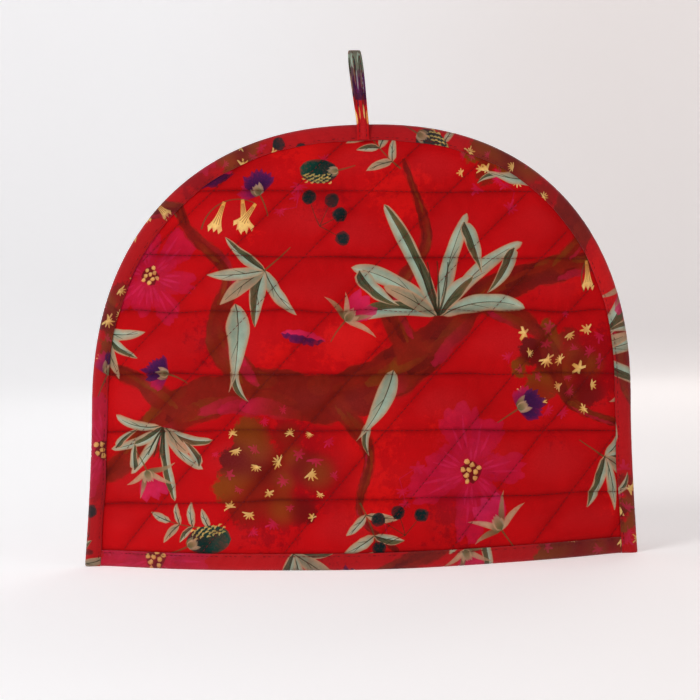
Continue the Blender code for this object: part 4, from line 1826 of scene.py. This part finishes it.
def camera_in_front():
    """The camera, a little above the middle of the front and turned a little."""
    data = bpy.data.cameras.new("camera")
    data.lens = LENS
    data.sensor_width = SENSOR
    camera = linked("camera", data)
    away = Vector((0, -math.cos(CAMERA_RISE), math.sin(CAMERA_RISE)))
    camera.location = AIM + away * CAMERA_DISTANCE
    camera.rotation_euler = (-away).to_track_quat("-Z", "Y").to_euler()
    camera.rotation_euler.rotate_axis("Z", CAMERA_ROLL)
    bpy.context.scene.camera = camera


# Where each piece is cut from the printed cloth: x and y in millimetres, and its turn.
WINDOWS = {
    "front_quilt": (0, 0, 0),
    "back_quilt": (150, 120, 0),
    "edge_strip": (20, 0, 50),
    "front_hem_strip": (30, 60, 0),
    "back_hem_strip": (120, 210, 0),
}


def quilted_panels(inks, tree, yarn):
    """The front and back panels, each with its machined lines."""
    quilt = printed_cotton("quilted_print", sheen=0.010, depth=0.93)
    inner = printed_cotton("plain_inner_cotton", sheen=0.008)
    for word, side in (("front", FRONT), ("back", BACK)):
        quilted = panel(f"{word}_quilt", side, inks, WINDOWS[f"{word}_quilt"], [quilt, inner])
        lines = quilt_stitches(f"{word}_quilt_stitches", side, tree, yarn)
        outline = panel_outline(side)
        reach = (outline.max(axis=0) - outline.min(axis=0)) / MM
        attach(quilted, "root")
        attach(lines, "root")
        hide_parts(f"{word}_panel")


def hanging_loop(tree, yarn):
    """The loop and its stitches; both are attached to the root, not to the binding that carries them."""
    loop_cloth = printed_cotton("loop_print", sheen=0.10, depth=0.9)
    strap = loop_strip()
    dark_strokes = streaks(strap.length, strap.width)
    loop = folded_strip("loop_strip", strap, dark_strokes, (0, 0, 0), loop_cloth, LOOP_CLOTH)
    loop_seam = strip_stitches("loop_stitches", strap, LOOP_CLOTH, tree, yarn)
    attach(loop, "root")
    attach(loop_seam, "root")
    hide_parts("hanging_loop")
    return [loop, loop_seam]


def bound_edge(inks, cloth, tree, yarn):
    """The binding round the arch, with its sewing."""
    bound = binding_strip()
    window = WINDOWS["edge_strip"]
    edge = folded_strip("edge_strip", bound, inks, window, cloth, BINDING_CLOTH, BINDING_ROLL)
    seam = strip_stitches("edge_stitches", bound, BINDING_CLOTH, tree, yarn, BINDING_ROLL)
    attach(edge, "root")
    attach(seam, "root")
    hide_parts("edge_binding")
    bound.width / MM


def bound_hems(inks, cloth, tree, yarn):
    """The strips along the two bottom edges, each with its sewing."""
    for word, side in (("front", FRONT), ("back", BACK)):
        hem, window = hem_strip(side), WINDOWS[f"{word}_hem_strip"]
        turned_up = folded_strip(f"{word}_hem_strip", hem, inks, window, cloth, HEM_CLOTH)
        seam = strip_stitches(f"{word}_hem_stitches", hem, HEM_CLOTH, tree, yarn)
        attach(turned_up, "root")
        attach(seam, "root")
        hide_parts(f"{word}_hem_binding")
        hem.width / MM


def main():
    """The whole cosy in its plain surround."""
    lighting()
    camera_in_front()
    cove()
    inks = design()
    tree = stitch_tree()
    yarn = thread("dark_red_thread", RED_YARN)
    # The binding is the same print drawn darker than the quilt's, with a pale haze painted in for sheen.
    binding_cloth = printed_cotton("binding_print", sheen=0.28, depth=0.76, painted_sheen=0.016)
    quilted_panels(inks, tree, yarn)
    loop_pieces = hanging_loop(tree, yarn)
    bound_edge(inks, binding_cloth, tree, yarn)
    bound_hems(inks, binding_cloth, tree, yarn)


main()
